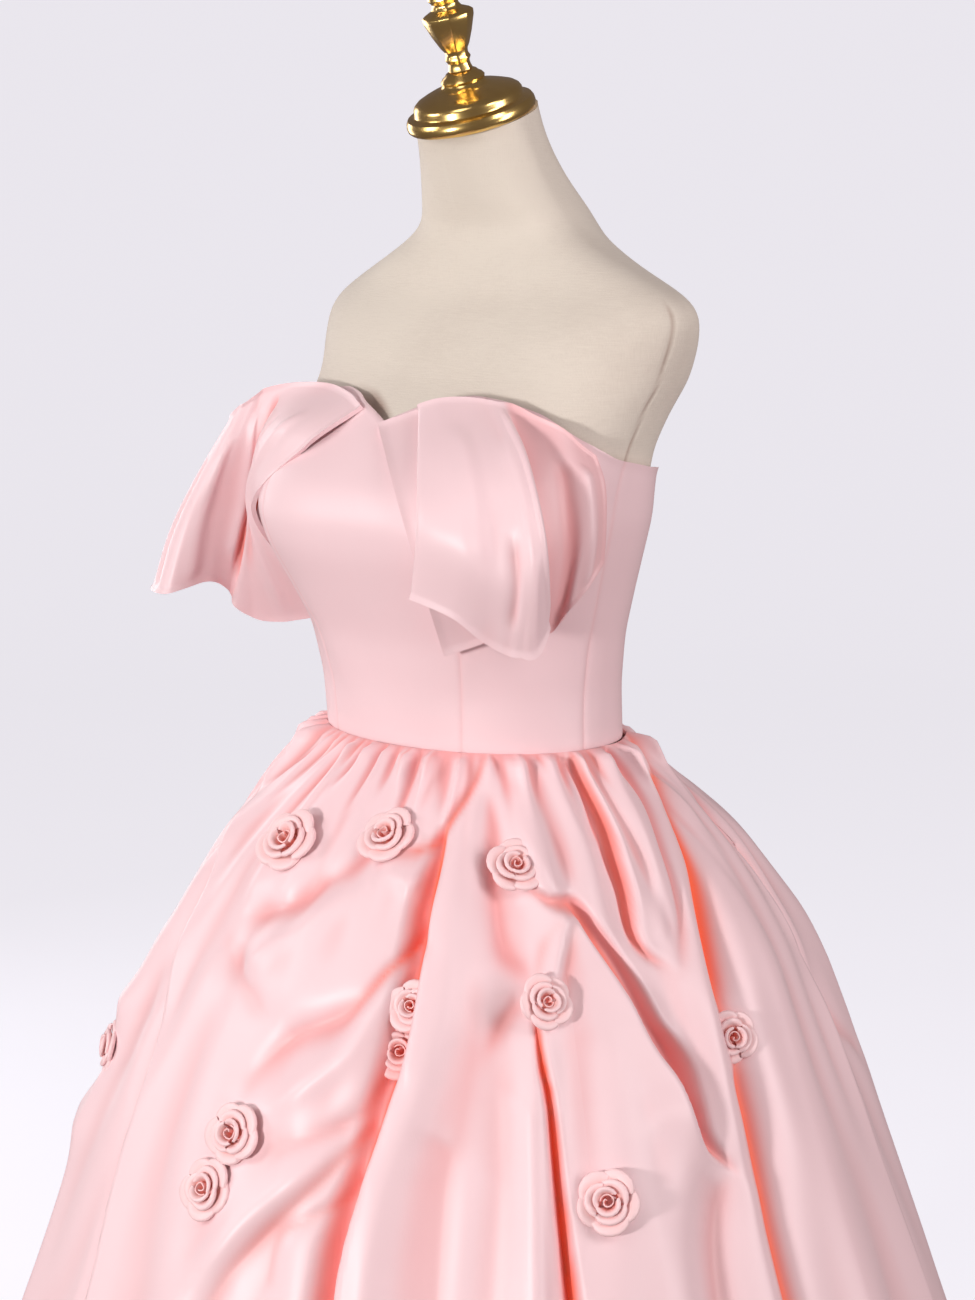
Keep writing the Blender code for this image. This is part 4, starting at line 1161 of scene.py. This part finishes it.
# ------------------------------------------------------------------ bodice
@dataclass
class Bodice:
    """The fitted strapless bodice: five boned panels and the zip at the back."""

    panels: tuple[tuple[str, float, float], ...] = (
        ("bodice_front_centre", -PRINCESS_SEAM_DEG, PRINCESS_SEAM_DEG),
        ("bodice_front_left", PRINCESS_SEAM_DEG, SIDE_SEAM_DEG),
        ("bodice_front_right", -SIDE_SEAM_DEG, -PRINCESS_SEAM_DEG),
        ("bodice_back_left", SIDE_SEAM_DEG, ZIP_EDGE_DEG),
        ("bodice_back_right", -ZIP_EDGE_DEG, -SIDE_SEAM_DEG),
    )
    step: float = 1.2
    rows: int = 76
    seam_depth: float = 0.0006
    seam_width: float = 0.0018
    wale: float = 0.0006
    top_roll: float = 0.0009
    waist_pull: float = 0.0006
    cut_wider: float = 1.06
    cut_taller: float = 1.12

    def seam(self, degrees: np.ndarray, radius: np.ndarray) -> np.ndarray:
        """Give 1 on a seam line, falling to 0 beside it."""
        groove = np.zeros(degrees.shape)
        for line in (PRINCESS_SEAM_DEG, SIDE_SEAM_DEG, ZIP_EDGE_DEG):
            away = np.radians(np.abs(degrees) - line) * radius
            groove = np.maximum(groove, bell(away, self.seam_width))
        return groove

    def build(self, finish: bpy.types.Material, zip_finish: bpy.types.Material) -> None:
        """Make the panels and put them in place of their solids, and give the zip its finish."""
        for node, first, last in self.panels:
            count = int(round((last - first) / self.step))
            turns = np.linspace(first, last, count + 1)
            share = np.linspace(0.0, 1.0, self.rows)[:, None]
            degrees = np.broadcast_to(turns, (self.rows, count + 1))
            top = neckline(degrees)
            height = WAIST_Z + (top - WAIST_Z) * share
            at = BODY_SHAPE.point(degrees, height, 0.0)
            radius = np.hypot(at[..., 0], at[..., 1])
            groove = self.seam(degrees, radius)
            wale = self.wale * np.sin(np.radians(degrees) * 9.0 + height * 30.0) * np.sin(height * 21.0)
            edge = bell(top - height, 0.0030) * self.top_roll
            waist = bell(height - WAIST_Z, 0.0022) * self.waist_pull
            flare = neck_flare(degrees, height)
            out = BODICE_CLEARANCE + BODICE_WALL - self.seam_depth * groove + wale + edge - waist + flare
            outer = BODY_SHAPE.point(degrees, height, out)
            inner = BODY_SHAPE.point(degrees, height, BODICE_CLEARANCE + flare)
            # painted shade in the seam grooves and along the waist edge
            hollow = np.clip(0.16 * groove + 0.2 * bell(height - WAIST_Z, 0.003), 0.0, 1.0)
            cut = np.stack([np.radians(degrees) * radius, height], axis=-1)
            marks = {"crease": 0.05 * groove, "hollow": 0.6 * hollow}
            piece = shell("satin_" + node, outer, inner, cut, marks)
            dress(piece, finish, 60.0, node)
        recolour("back_zip", zip_finish)


# ------------------------------------------------------------------ flounces
def catmull(points: np.ndarray, t: np.ndarray) -> np.ndarray:
    """Give points on a smooth curve through rows of points.

    Args:
        points: Rows of points; further axes are carried along.
        t: Places on the curve, counted in rows from the first.

    Returns:
        One point for each place.
    """
    result = []
    for at in t:
        k = min(int(at), len(points) - 2)
        f = at - k
        p1, p2 = points[k], points[k + 1]
        p0 = points[k - 1] if k > 0 else 2 * p1 - p2
        p3 = points[k + 2] if k + 2 < len(points) else 2 * p2 - p1
        span, before, after = (np.linalg.norm(v, axis=-1, keepdims=True) for v in (p2 - p1, p1 - p0, p3 - p2))
        slope1 = (p2 - p0) * span / (span + before)
        slope2 = (p3 - p1) * span / (span + after)
        h1 = 2 * f**3 - 3 * f**2 + 1
        h2 = -2 * f**3 + 3 * f**2
        result.append(h1 * p1 + h2 * p2 + (f**3 - 2 * f**2 + f) * slope1 + (f**3 - f**2) * slope2)
    return np.array(result)


@dataclass
class Flounces:
    """The two folded satin flounces that hang from the neckline."""

    across: int = 14
    down: int = 84
    hem_roll: float = 0.00126
    roll_width: float = 0.0032
    lobe: float = 0.0075
    lobe_line: float = 6.0
    rear_line: float = 7.1
    rear_shade: float = 0.5
    # flounce, fold line, height, width, start and end as shares of the way down
    cords: tuple[tuple[str, float, float, float, float, float], ...] = (
        ("flounce_left", 7.0, 0.0024, 0.0022, 0.02, 1.0),
        ("flounce_left", 5.6, -0.0030, 0.0045, 0.50, 0.92),
        ("flounce_left", 6.3, 0.0022, 0.0070, 0.15, 1.0),
        ("flounce_left", 4.6, 0.0018, 0.0080, 0.1, 0.7),
        ("flounce_left", 9.5, -0.0030, 0.0070, 0.2, 1.0),
        ("flounce_left", 10.6, 0.0025, 0.0060, 0.2, 1.0),
        ("flounce_right", 6.5, -0.0035, 0.0040, 0.2, 1.0),
        ("flounce_right", 3.5, -0.0075, 0.0038, 0.05, 0.95),
        ("flounce_right", 4.2, 0.0030, 0.0060, 0.10, 0.9),
        ("flounce_right", 1.4, 0.0030, 0.0060, 0.15, 1.0),
        ("flounce_right", 2.4, -0.0030, 0.0050, 0.20, 0.9),
        ("flounce_right", 5.4, 0.0030, 0.0070, 0.2, 1.0),
    )

    def pressed(self, node: str, across: np.ndarray, level: np.ndarray) -> tuple[np.ndarray, np.ndarray]:
        """Give the press lines of one flounce.

        Args:
            node: The flounce's name.
            across: Length of cloth from the first edge to each point.
            level: Share of the way down, for each row.

        Returns:
            Distance out of the cloth, and depth of groove from 0 to 1.
        """
        press, groove = np.zeros(across.shape), np.zeros(across.shape)
        for owner, line, height, width, start, end in self.cords:
            if owner == node:
                away = across - across[:, int(round(line * self.across))][:, None]
                part = smooth((level - start) / 0.12) * (1.0 - 0.8 * smooth((level - end + 0.1) / 0.1))
                shape = bell(away, width) * part
                press += height * shape
                groove = np.maximum(groove, shape * max(0.0, -height) / 0.0060)
        return press, groove

    def build(self, finish: bpy.types.Material) -> None:
        """Make both flounces and put them in place of their solids."""
        for node, table in (("flounce_left", FLOUNCE_LEFT), ("flounce_right", FLOUNCE_RIGHT)):
            rows = np.array(table).reshape(len(table), 4, 3)
            clear = BODICE_CLEARANCE + BODICE_WALL + rows[..., 1] + neck_flare(rows[..., 0], rows[..., 2])
            lines = BODY_SHAPE.point(rows[..., 0], rows[..., 2], clear)
            down = catmull(lines.transpose(1, 0, 2), np.linspace(0.0, 3.0, self.down + 1))
            place = np.linspace(0.0, len(table) - 1, (len(table) - 1) * self.across + 1)
            points = catmull(down.transpose(1, 0, 2), place).transpose(1, 0, 2)
            outward = np.sign(np.mean(np.sum(normals_of(points) * points, axis=-1)))
            level = np.linspace(0.0, 1.0, self.down + 1)[:, None]
            press, groove = self.pressed(node, run(points, 1), level)
            leaf = node == "flounce_left"
            if leaf:
                bulge = np.clip(place[None, :] - self.lobe_line, 0.0, 1.0)
                points[..., 2] -= self.lobe * np.sin(np.pi * bulge) ** 1.3 * level**5
            points = points + normals_of(points) * (press * outward)[..., None]
            normal = normals_of(points)
            fall, along = run(points, 0), run(points, 1)
            to_side = np.minimum(along, along[:, -1:] - along)
            nearest = np.minimum(np.minimum(fall[-1] - fall, to_side), fall + 0.0006)
            roll = (FLOUNCE_WALL * 0.5 + self.hem_roll * bell(nearest, self.roll_width, 4.0))[..., None]
            bend = np.sum((blur(points, 4.0, 6.0) - points) * normal, axis=-1)
            sign = 1.0 if np.mean(np.sum(normal * points, axis=-1)) > 0 else -1.0
            bend = bend * sign / 0.006
            # painted shadow of the lobe over the rear leaf
            rear_shadow = self.rear_shade * smooth((place[None, :] - self.rear_line) / 0.6) if leaf else 0.0
            # painted shade in the bends and pressed grooves
            crease = np.clip(bend, 0.0, 1.0) ** 3 * 0.10 + (0.0 if leaf else 0.45) * groove**2
            marks = {
                "crease": np.clip(crease, 0.0, 1.0),
                "hollow": np.clip(bend + 0.25 * groove + rear_shadow, 0.0, 1.0),
            }
            cut = np.stack([along, fall], axis=-1)
            piece = shell("satin_" + node, points + normal * roll, points - normal * roll, cut, marks)
            dress(piece, finish, 75.0, node)


# ------------------------------------------------------------------ roses
@dataclass
class Roses:
    """The sewn satin roses, one shaped and copied to each place."""

    petal_steps: int = 8
    wall: float = 0.020
    rolled: float = math.radians(215.0)
    bud_turns: float = 1.2
    swell: float = 1.04
    lift: float = 0.0004
    spin: float = 2.4

    def petal(
        self, turn: float, reach: float, rise: float, half: float, lean: float, curl: float
    ) -> tuple[np.ndarray, ...]:
        """Shape one petal as a cupped leaf with a rolled rim, for a rose of radius 1.

        Args:
            turn: Which way the petal looks, in radians.
            reach: How far its rim stands from the middle.
            rise: How high its rim stands.
            half: Half of the angle that it spans, in radians.
            lean: How far its foot stands from the middle.
            curl: How far the rim rolls outward.

        Returns:
            Grid of points and grid of marks for painted shade, darker towards the petal's foot.
        """
        w = np.linspace(-1.0, 1.0, self.petal_steps + 1)[None, :]
        rim = 1.0 - 0.30 * np.abs(w) ** 2.2
        rise_part = np.linspace(0.0, 1.0, 7)[:, None]
        roll = np.linspace(0.0, 1.0, 6)[1:, None] * self.rolled
        radius = lean + (reach - lean) * rim * rise_part**1.25
        height = rise * (1.0 - (1.0 - rise_part) ** 1.7) - 0.14 * rise * w**2 * rise_part
        bead = curl * (1.0 - 0.35 * w**2)
        tip_r = radius[-1:] + bead * np.sin(roll)
        tip_h = height[-1:] - bead * (1.0 - np.cos(roll)) + 0.0 * w
        radius = np.concatenate([radius, tip_r])
        height = np.concatenate([height, tip_h]) + 0.03 * np.sin(2.3 * w + 5.0 * turn)
        up = np.concatenate([rise_part + 0.0 * w, 1.0 + 0.0 * roll * w])
        angle = turn + w * half * (0.55 + 0.45 * up)
        grid = np.stack([radius * np.cos(angle), radius * np.sin(angle), height], axis=-1)
        return grid, np.clip(1.0 - 1.1 * up, 0.0, 1.0)

    def bud(self) -> tuple[np.ndarray, ...]:
        """Shape the wound strip at the heart, for a rose of radius 1."""
        t = np.linspace(0.0, 1.0, 40)[None, :]
        v = np.linspace(0.0, 1.0, 6)[:, None]
        angle = 2.0 * math.pi * self.bud_turns * t
        radius = 0.04 + 0.20 * t**0.8 + 0.03 * v**2 + 0.02 * np.sin(1.5 * angle) * t
        height = 0.10 + (0.44 - 0.10 * t + 0.03 * np.sin(2.5 * angle)) * v
        grid = np.stack([radius * np.cos(angle), radius * np.sin(angle), height + 0.0 * t], axis=-1)
        # painted shade, darker towards the foot of the strip
        return grid, np.clip(1.1 - 0.85 * v, 0.0, 1.0) + 0.0 * t

    def model(self) -> tuple[np.ndarray, np.ndarray, np.ndarray, np.ndarray]:
        """Shape the whole rose of radius 1.

        Returns:
            Points, faces, marks for painted shade, and marks for painted deep shade and glow.
        """
        sheets = [self.bud()]
        for k in range(2):
            sheets.append(self.petal(2.9 * k + 0.4, 0.44, 0.60, 1.50, 0.22, 0.055))
        for k in range(3):
            sheets.append(self.petal(2.15 * k + 1.1, 0.70, 0.50 - 0.03 * k, 1.10, 0.30, 0.070))
        for k in range(5):
            sheets.append(self.petal(1.27 * k + 0.5, 1.04 - 0.05 * (k % 2), 0.34 - 0.07 * (k % 2), 0.78, 0.36, 0.080))
        points, faces, hollow_shades = [], [], []
        start = 0
        for grid, hollow in sheets:
            wall = normals_of(grid) * self.wall
            points += [(grid + wall).reshape(-1, 3), (grid - wall).reshape(-1, 3)]
            faces.append(sheet_faces(*grid.shape[:2]) + start)
            hollow_shades += [hollow.ravel()] * 2
            start += 2 * hollow.size
        every = np.concatenate(points)
        hollow = np.concatenate(hollow_shades)
        # painted deep shade and glow in the sunken parts, a little stronger near the middle
        heart = bell(np.hypot(every[:, 0], every[:, 1]), 0.40)
        crease = np.clip(hollow - 0.3, 0.0, 1.0) * (0.55 + 0.15 * heart)
        return every, np.concatenate(faces), np.clip(hollow, 0.0, 1.0), crease

    def build(self, finish: bpy.types.Material, ground: BVHTree) -> None:
        """Set a rose on the skirt at each place, in place of its solid."""
        points, faces, hollow, crease = self.model()
        for number, (_, _, size) in enumerate(ROSES, start=1):
            node = "rosette_%02d" % number
            solid = np.array([v.co for v in frame["nodes"][node].data.vertices])
            middle = solid.mean(axis=0)
            normal = np.linalg.eigh(np.cov((solid - middle).T))[1][:, 0]
            if np.dot(normal[:2], middle[:2]) < 0:
                normal = -normal
            deep = Vector(middle + normal * np.min((solid - middle) @ normal))
            axis = Vector(normal)
            hit = ground.ray_cast(deep + axis * 0.05, -axis, 0.10)[0]
            foot = hit if hit is not None else deep
            side = axis.cross(Vector((0.0, 0.0, 1.0))).normalized()
            spin = self.spin * number
            right = side * math.cos(spin) + side.cross(axis) * math.sin(spin)
            turned = Matrix((right, axis.cross(right), axis)).transposed()
            placed = points @ np.array(turned).T * (self.swell * size) + np.array(foot + axis * self.lift)
            mesh = bpy.data.meshes.new("satin_rose_%02d" % number)
            mesh.from_pydata(placed.tolist(), [], faces.tolist())
            piece = add_piece(mesh.name, mesh, {"hollow": hollow, "crease": crease})
            dress(piece, finish, 60.0, node)


# ------------------------------------------------------------------ dress form
@dataclass
class DressForm:
    """The padded torso, covered in linen sewn down the sides, and the leaning neck."""

    columns: int = 360
    neck_top: Vector = field(default_factory=lambda: Vector((0.0, -0.008, 1.518)))
    neck_tilt_deg: float = 19.5
    seams_deg: tuple[float, ...] = (86.0, -86.0, 180.0)
    seam_width: float = 0.0013
    seam_depth: float = 0.0010
    dent: float = 0.0006

    def lean(self) -> Matrix:
        """Give the matrix that sets turned work on the leaning neck."""
        return Matrix.Translation(self.neck_top) @ Matrix.Rotation(math.radians(self.neck_tilt_deg), 4, "X")

    def build(self, linen: bpy.types.Material) -> None:
        """Make the torso in place of its solid."""
        heights = np.concatenate([
            np.arange(0.900, 1.10, 0.010), np.arange(1.10, 1.24, 0.004), np.arange(1.24, 1.33, 0.002),
            np.arange(1.33, 1.552, 0.004),
        ])
        degrees = np.linspace(0.0, 360.0, self.columns, endpoint=False)
        turns, levels = np.meshgrid(degrees, heights)
        grid = BODY_SHAPE.point(turns, levels, -FORM_INSET)
        wave = np.sin(levels * 31.0) * 1.2
        seam = np.zeros(turns.shape)
        for line in self.seams_deg:
            away = np.radians(half_turn(turns - line - wave)) * np.hypot(grid[..., 0], grid[..., 1])
            seam = np.maximum(seam, bell(away, self.seam_width))
        seam *= 1.0 - smooth((levels - 1.378) / 0.012)
        # painted shadow on the form just above the bodice's top edge, darkest where the edge stands off
        top = neckline(turns)
        apart = neck_flare(half_turn(turns), top) / NECK_FLARE
        gap = smooth((top + 0.0042 - levels) / 0.0055) * smooth((levels - top + 0.016) / 0.006)
        gap = gap * (0.25 + 1.2 * apart)
        dent = self.dent * np.sin(levels * 57.0 + turns * 0.05) * np.sin(turns * 0.13) + self.seam_depth * seam
        grid = BODY_SHAPE.point(turns, levels, -FORM_INSET - dent)
        mesh = bpy.data.meshes.new("linen_torso")
        n = self.columns
        faces = []
        for start in range(0, (len(heights) - 1) * n, n):
            for k in range(n):
                m = (k + 1) % n
                faces.append((start + k, start + m, start + n + m, start + n + k))
        faces.append(tuple(range(n - 1, -1, -1)))
        faces.append(tuple(range((len(heights) - 1) * n, len(heights) * n)))
        mesh.from_pydata(grid.reshape(-1, 3).tolist(), [], faces)
        # the seam mark darkens the real seam lines and lays the painted shadow under the bodice's edge
        piece = add_piece("linen_torso", mesh, {"seam": np.clip(seam + gap, 0.0, 1.4)})
        activate(piece)
        up = self.lean().to_3x3() @ Vector((0.0, 0.0, 1.0))
        bpy.ops.object.mode_set(mode="EDIT")
        bpy.ops.mesh.select_all(action="SELECT")
        bpy.ops.mesh.bisect(plane_co=self.neck_top, plane_no=up, clear_outer=True, use_fill=True)
        bpy.ops.mesh.select_all(action="SELECT")
        bpy.ops.mesh.normals_make_consistent(inside=False)
        bpy.ops.object.mode_set(mode="OBJECT")
        dress(piece, linen, 40.0, "form_torso")


# ------------------------------------------------------------------ gilt work
@dataclass
class GiltWork:
    """The turned neck cap with its finial, and the stand's pole and base."""

    cap: tuple[tuple[float, float], ...] = (
        (0.0000, 0.0005), (0.0470, 0.0005), (0.0485, 0.0020), (0.0490, 0.0045), (0.0485, 0.0075),
        (0.0472, 0.0098), (0.0440, 0.0108), (0.0420, 0.0118), (0.0415, 0.0130), (0.0412, 0.0160),
        (0.0402, 0.0180), (0.0375, 0.0202), (0.0330, 0.0222), (0.0270, 0.0245), (0.0215, 0.0258),
        (0.0175, 0.0272), (0.0160, 0.0295), (0.0166, 0.0315), (0.0152, 0.0335), (0.0128, 0.0352),
        (0.0118, 0.0366), (0.0100, 0.0376), (0.0000, 0.0378),
    )
    finial: tuple[tuple[float, float], ...] = (
        (0.0000, 0.0381), (0.0095, 0.0381), (0.0085, 0.0410), (0.0082, 0.0440), (0.0100, 0.0470),
        (0.0085, 0.0500), (0.0090, 0.0530), (0.0110, 0.0560), (0.0150, 0.0650), (0.0190, 0.0760),
        (0.0195, 0.0800), (0.0170, 0.0820), (0.0120, 0.0840), (0.0100, 0.0870), (0.0100, 0.0890),
        (0.0125, 0.0920), (0.0110, 0.0960), (0.0090, 0.1010), (0.0075, 0.1150), (0.0070, 0.1250),
        (0.0100, 0.1300), (0.0125, 0.1400), (0.0100, 0.1500), (0.0030, 0.1620), (0.0000, 0.1622),
    )

    def turned(self, name: str, profile: tuple[tuple[float, float], ...], sides: int, bevel: float) -> bpy.types.Object:
        """Turn a profile, with edges rounded by a bevel, still standing upright at the origin."""
        piece = spun(name, profile, sides, 0.00002, False)
        if bevel:
            rounding = piece.modifiers.new("rounding", "BEVEL")
            rounding.width = bevel
            rounding.segments = 2
            rounding.limit_method = "ANGLE"
            rounding.angle_limit = math.radians(28.0)
            activate(piece)
            bpy.ops.object.modifier_apply(modifier=rounding.name)
        return piece

    def build(self, gilt: bpy.types.Material, form: DressForm) -> None:
        """Make the cap and finial in place of their solids and dress the stand."""
        for node, profile, sides, bevel in (("neck_cap", self.cap, 96, 0.0), ("neck_finial", self.finial, 8, 0.0007)):
            piece = self.turned("gilt_" + node, profile, sides, bevel)
            piece.data.transform(form.lean())
            dress(piece, gilt, 38.0 if sides > 8 else 18.0, node)
        for name in ("stand_base", "stand_pole"):
            recolour(name, gilt)


# ------------------------------------------------------------------ studio
@dataclass
class Studio:
    """Floor with a far upswept wall, soft lights and the camera."""

    azimuth_deg: float = 43.0
    distance: float = 2.2
    height: float = 1.49
    pitch_deg: float = 9.6
    focal_px: float = 2912.0
    picture: tuple[int, int] = (975, 1300)
    off_centre_px: float = 7.5
    sensor: float = 36.0
    floor_radius: float = 6.0
    sweep_radius: float = 2.5
    wall_height: float = 7.5
    lamp_distance: float = 3.2
    lamp_aim: float = 1.0
    # name, degrees round from the front and above the level, width and height, watts, colour
    lamps: tuple[tuple[str, float, float, tuple[float, float], float, Colour], ...] = (
        ("key", 4.0, 5.0, (0.26, 0.30), 58.0, (1.0, 0.99, 0.98)),
        ("top", 10.0, 45.0, (1.0, 1.0), 10.0, (1.0, 0.98, 0.98)),
        ("window", -38.0, 20.0, (1.0, 1.0), 26.0, (1.0, 0.98, 0.99)),
        ("fill", 84.0, 36.0, (0.8, 1.0), 16.0, (1.0, 0.97, 0.98)),
        ("far", 104.0, 14.0, (1.0, 2.0), 46.0, (1.0, 0.95, 0.96)),
        ("rim", -100.0, 10.0, (1.0, 2.0), 24.0, (1.0, 0.97, 0.99)),
    )

    def backdrop(self, paper: bpy.types.Material) -> None:
        """Make the floor and its far wall as one swept sheet."""
        flat, sweep, top = self.floor_radius, self.sweep_radius, self.wall_height
        profile = [(0.0, 0.0), (0.5 * flat, 0.0), (flat, 0.0)]
        for k in range(1, 13):
            a = math.pi * k / 24
            profile.append((flat + sweep * math.sin(a), sweep - sweep * math.cos(a)))
        profile.append((flat + sweep, top))
        piece = spun("studio_floor", profile, 96, 0.0005, True)
        piece.data.materials.append(paper)
        shade(piece, 60.0)
        piece.visible_diffuse = False
        piece.visible_glossy = False

    def light(self, name: str, azimuth: float, elevation: float, size: tuple[float, float], power: float,
              colour: Colour) -> None:
        """Hang one soft box that looks at the dress.

        Args:
            name: The light's name.
            azimuth: Degrees round from the front, towards the wearer's left.
            elevation: Degrees above the level.
            size: Width and height of the box.
            power: Watts.
            colour: Its colour.
        """
        lamp = bpy.data.lights.new(name, "AREA")
        lamp.shape = "RECTANGLE"
        lamp.size, lamp.size_y = size
        lamp.energy = power
        lamp.color = colour
        body = bpy.data.objects.new(name, lamp)
        a, e = math.radians(azimuth), math.radians(elevation)
        away = Vector((math.sin(a) * math.cos(e), -math.cos(a) * math.cos(e), math.sin(e))) * self.lamp_distance
        body.location = Vector((0.0, 0.0, self.lamp_aim)) + away
        body.rotation_euler = (-away).to_track_quat("-Z", "Y").to_euler()
        bpy.context.scene.collection.objects.link(body)

    def camera(self) -> None:
        """Set the camera at the picture's place."""
        a = math.radians(self.azimuth_deg)
        turn = math.atan(self.off_centre_px / self.focal_px)
        ahead = Vector((-math.sin(a), math.cos(a), 0.0))
        right = Vector((math.cos(a), math.sin(a), 0.0))
        level = ahead * math.cos(turn) + right * math.sin(turn)
        right = level.cross(Vector((0.0, 0.0, 1.0)))
        p = math.radians(self.pitch_deg)
        look = level * math.cos(p) - Vector((0.0, 0.0, math.sin(p)))
        up = right.cross(look)
        eye = bpy.data.cameras.new("camera")
        eye.sensor_width = self.sensor
        eye.lens = self.focal_px / self.picture[1] * self.sensor
        eye.clip_end = 60.0
        body = bpy.data.objects.new("camera", eye)
        bpy.context.scene.collection.objects.link(body)
        spot = Vector((self.distance * math.sin(a), -self.distance * math.cos(a), self.height))
        body.matrix_world = Matrix.Translation(spot) @ Matrix((right, up, -look)).transposed().to_4x4()
        bpy.context.scene.camera = body

    def build(self, paper: bpy.types.Material) -> None:
        """Make the floor, the lights, the sky and the camera."""
        self.backdrop(paper)
        self.camera()
        for lamp in self.lamps:
            self.light(*lamp)
        world = bpy.data.worlds.new("studio_air")
        world.use_nodes = True
        sky = world.node_tree.nodes["Background"]
        sky.inputs["Color"].default_value = (0.98, 0.84, 0.84, 1.0)
        sky.inputs["Strength"].default_value = 0.15
        bpy.context.scene.world = world
        bpy.context.scene.view_settings.view_transform = "Standard"


# ------------------------------------------------------------------ assembly
def main() -> None:
    """Build every sub-assembly in order."""
    logging.basicConfig(level=logging.INFO, format="%(message)s")
    satin = SatinFinish().make()
    linen = LinenFinish().make()
    gilt = GiltFinish().make()
    Studio().build(StudioFinish().make())
    skirt = Skirt()
    skirt.build(satin)
    Bodice().build(satin, ZipFinish().make())
    Flounces().build(satin)
    Roses().build(RoseFinish().make(), skirt.tree())
    form = DressForm()
    form.build(linen)
    GiltWork().build(gilt, form)
    for piece in list(bpy.context.scene.objects):
        if piece.type == "MESH" and piece.name not in frame["nodes"] and piece.name != "studio_floor":
            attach(piece, "root")


if __name__ == "__main__":
    main()
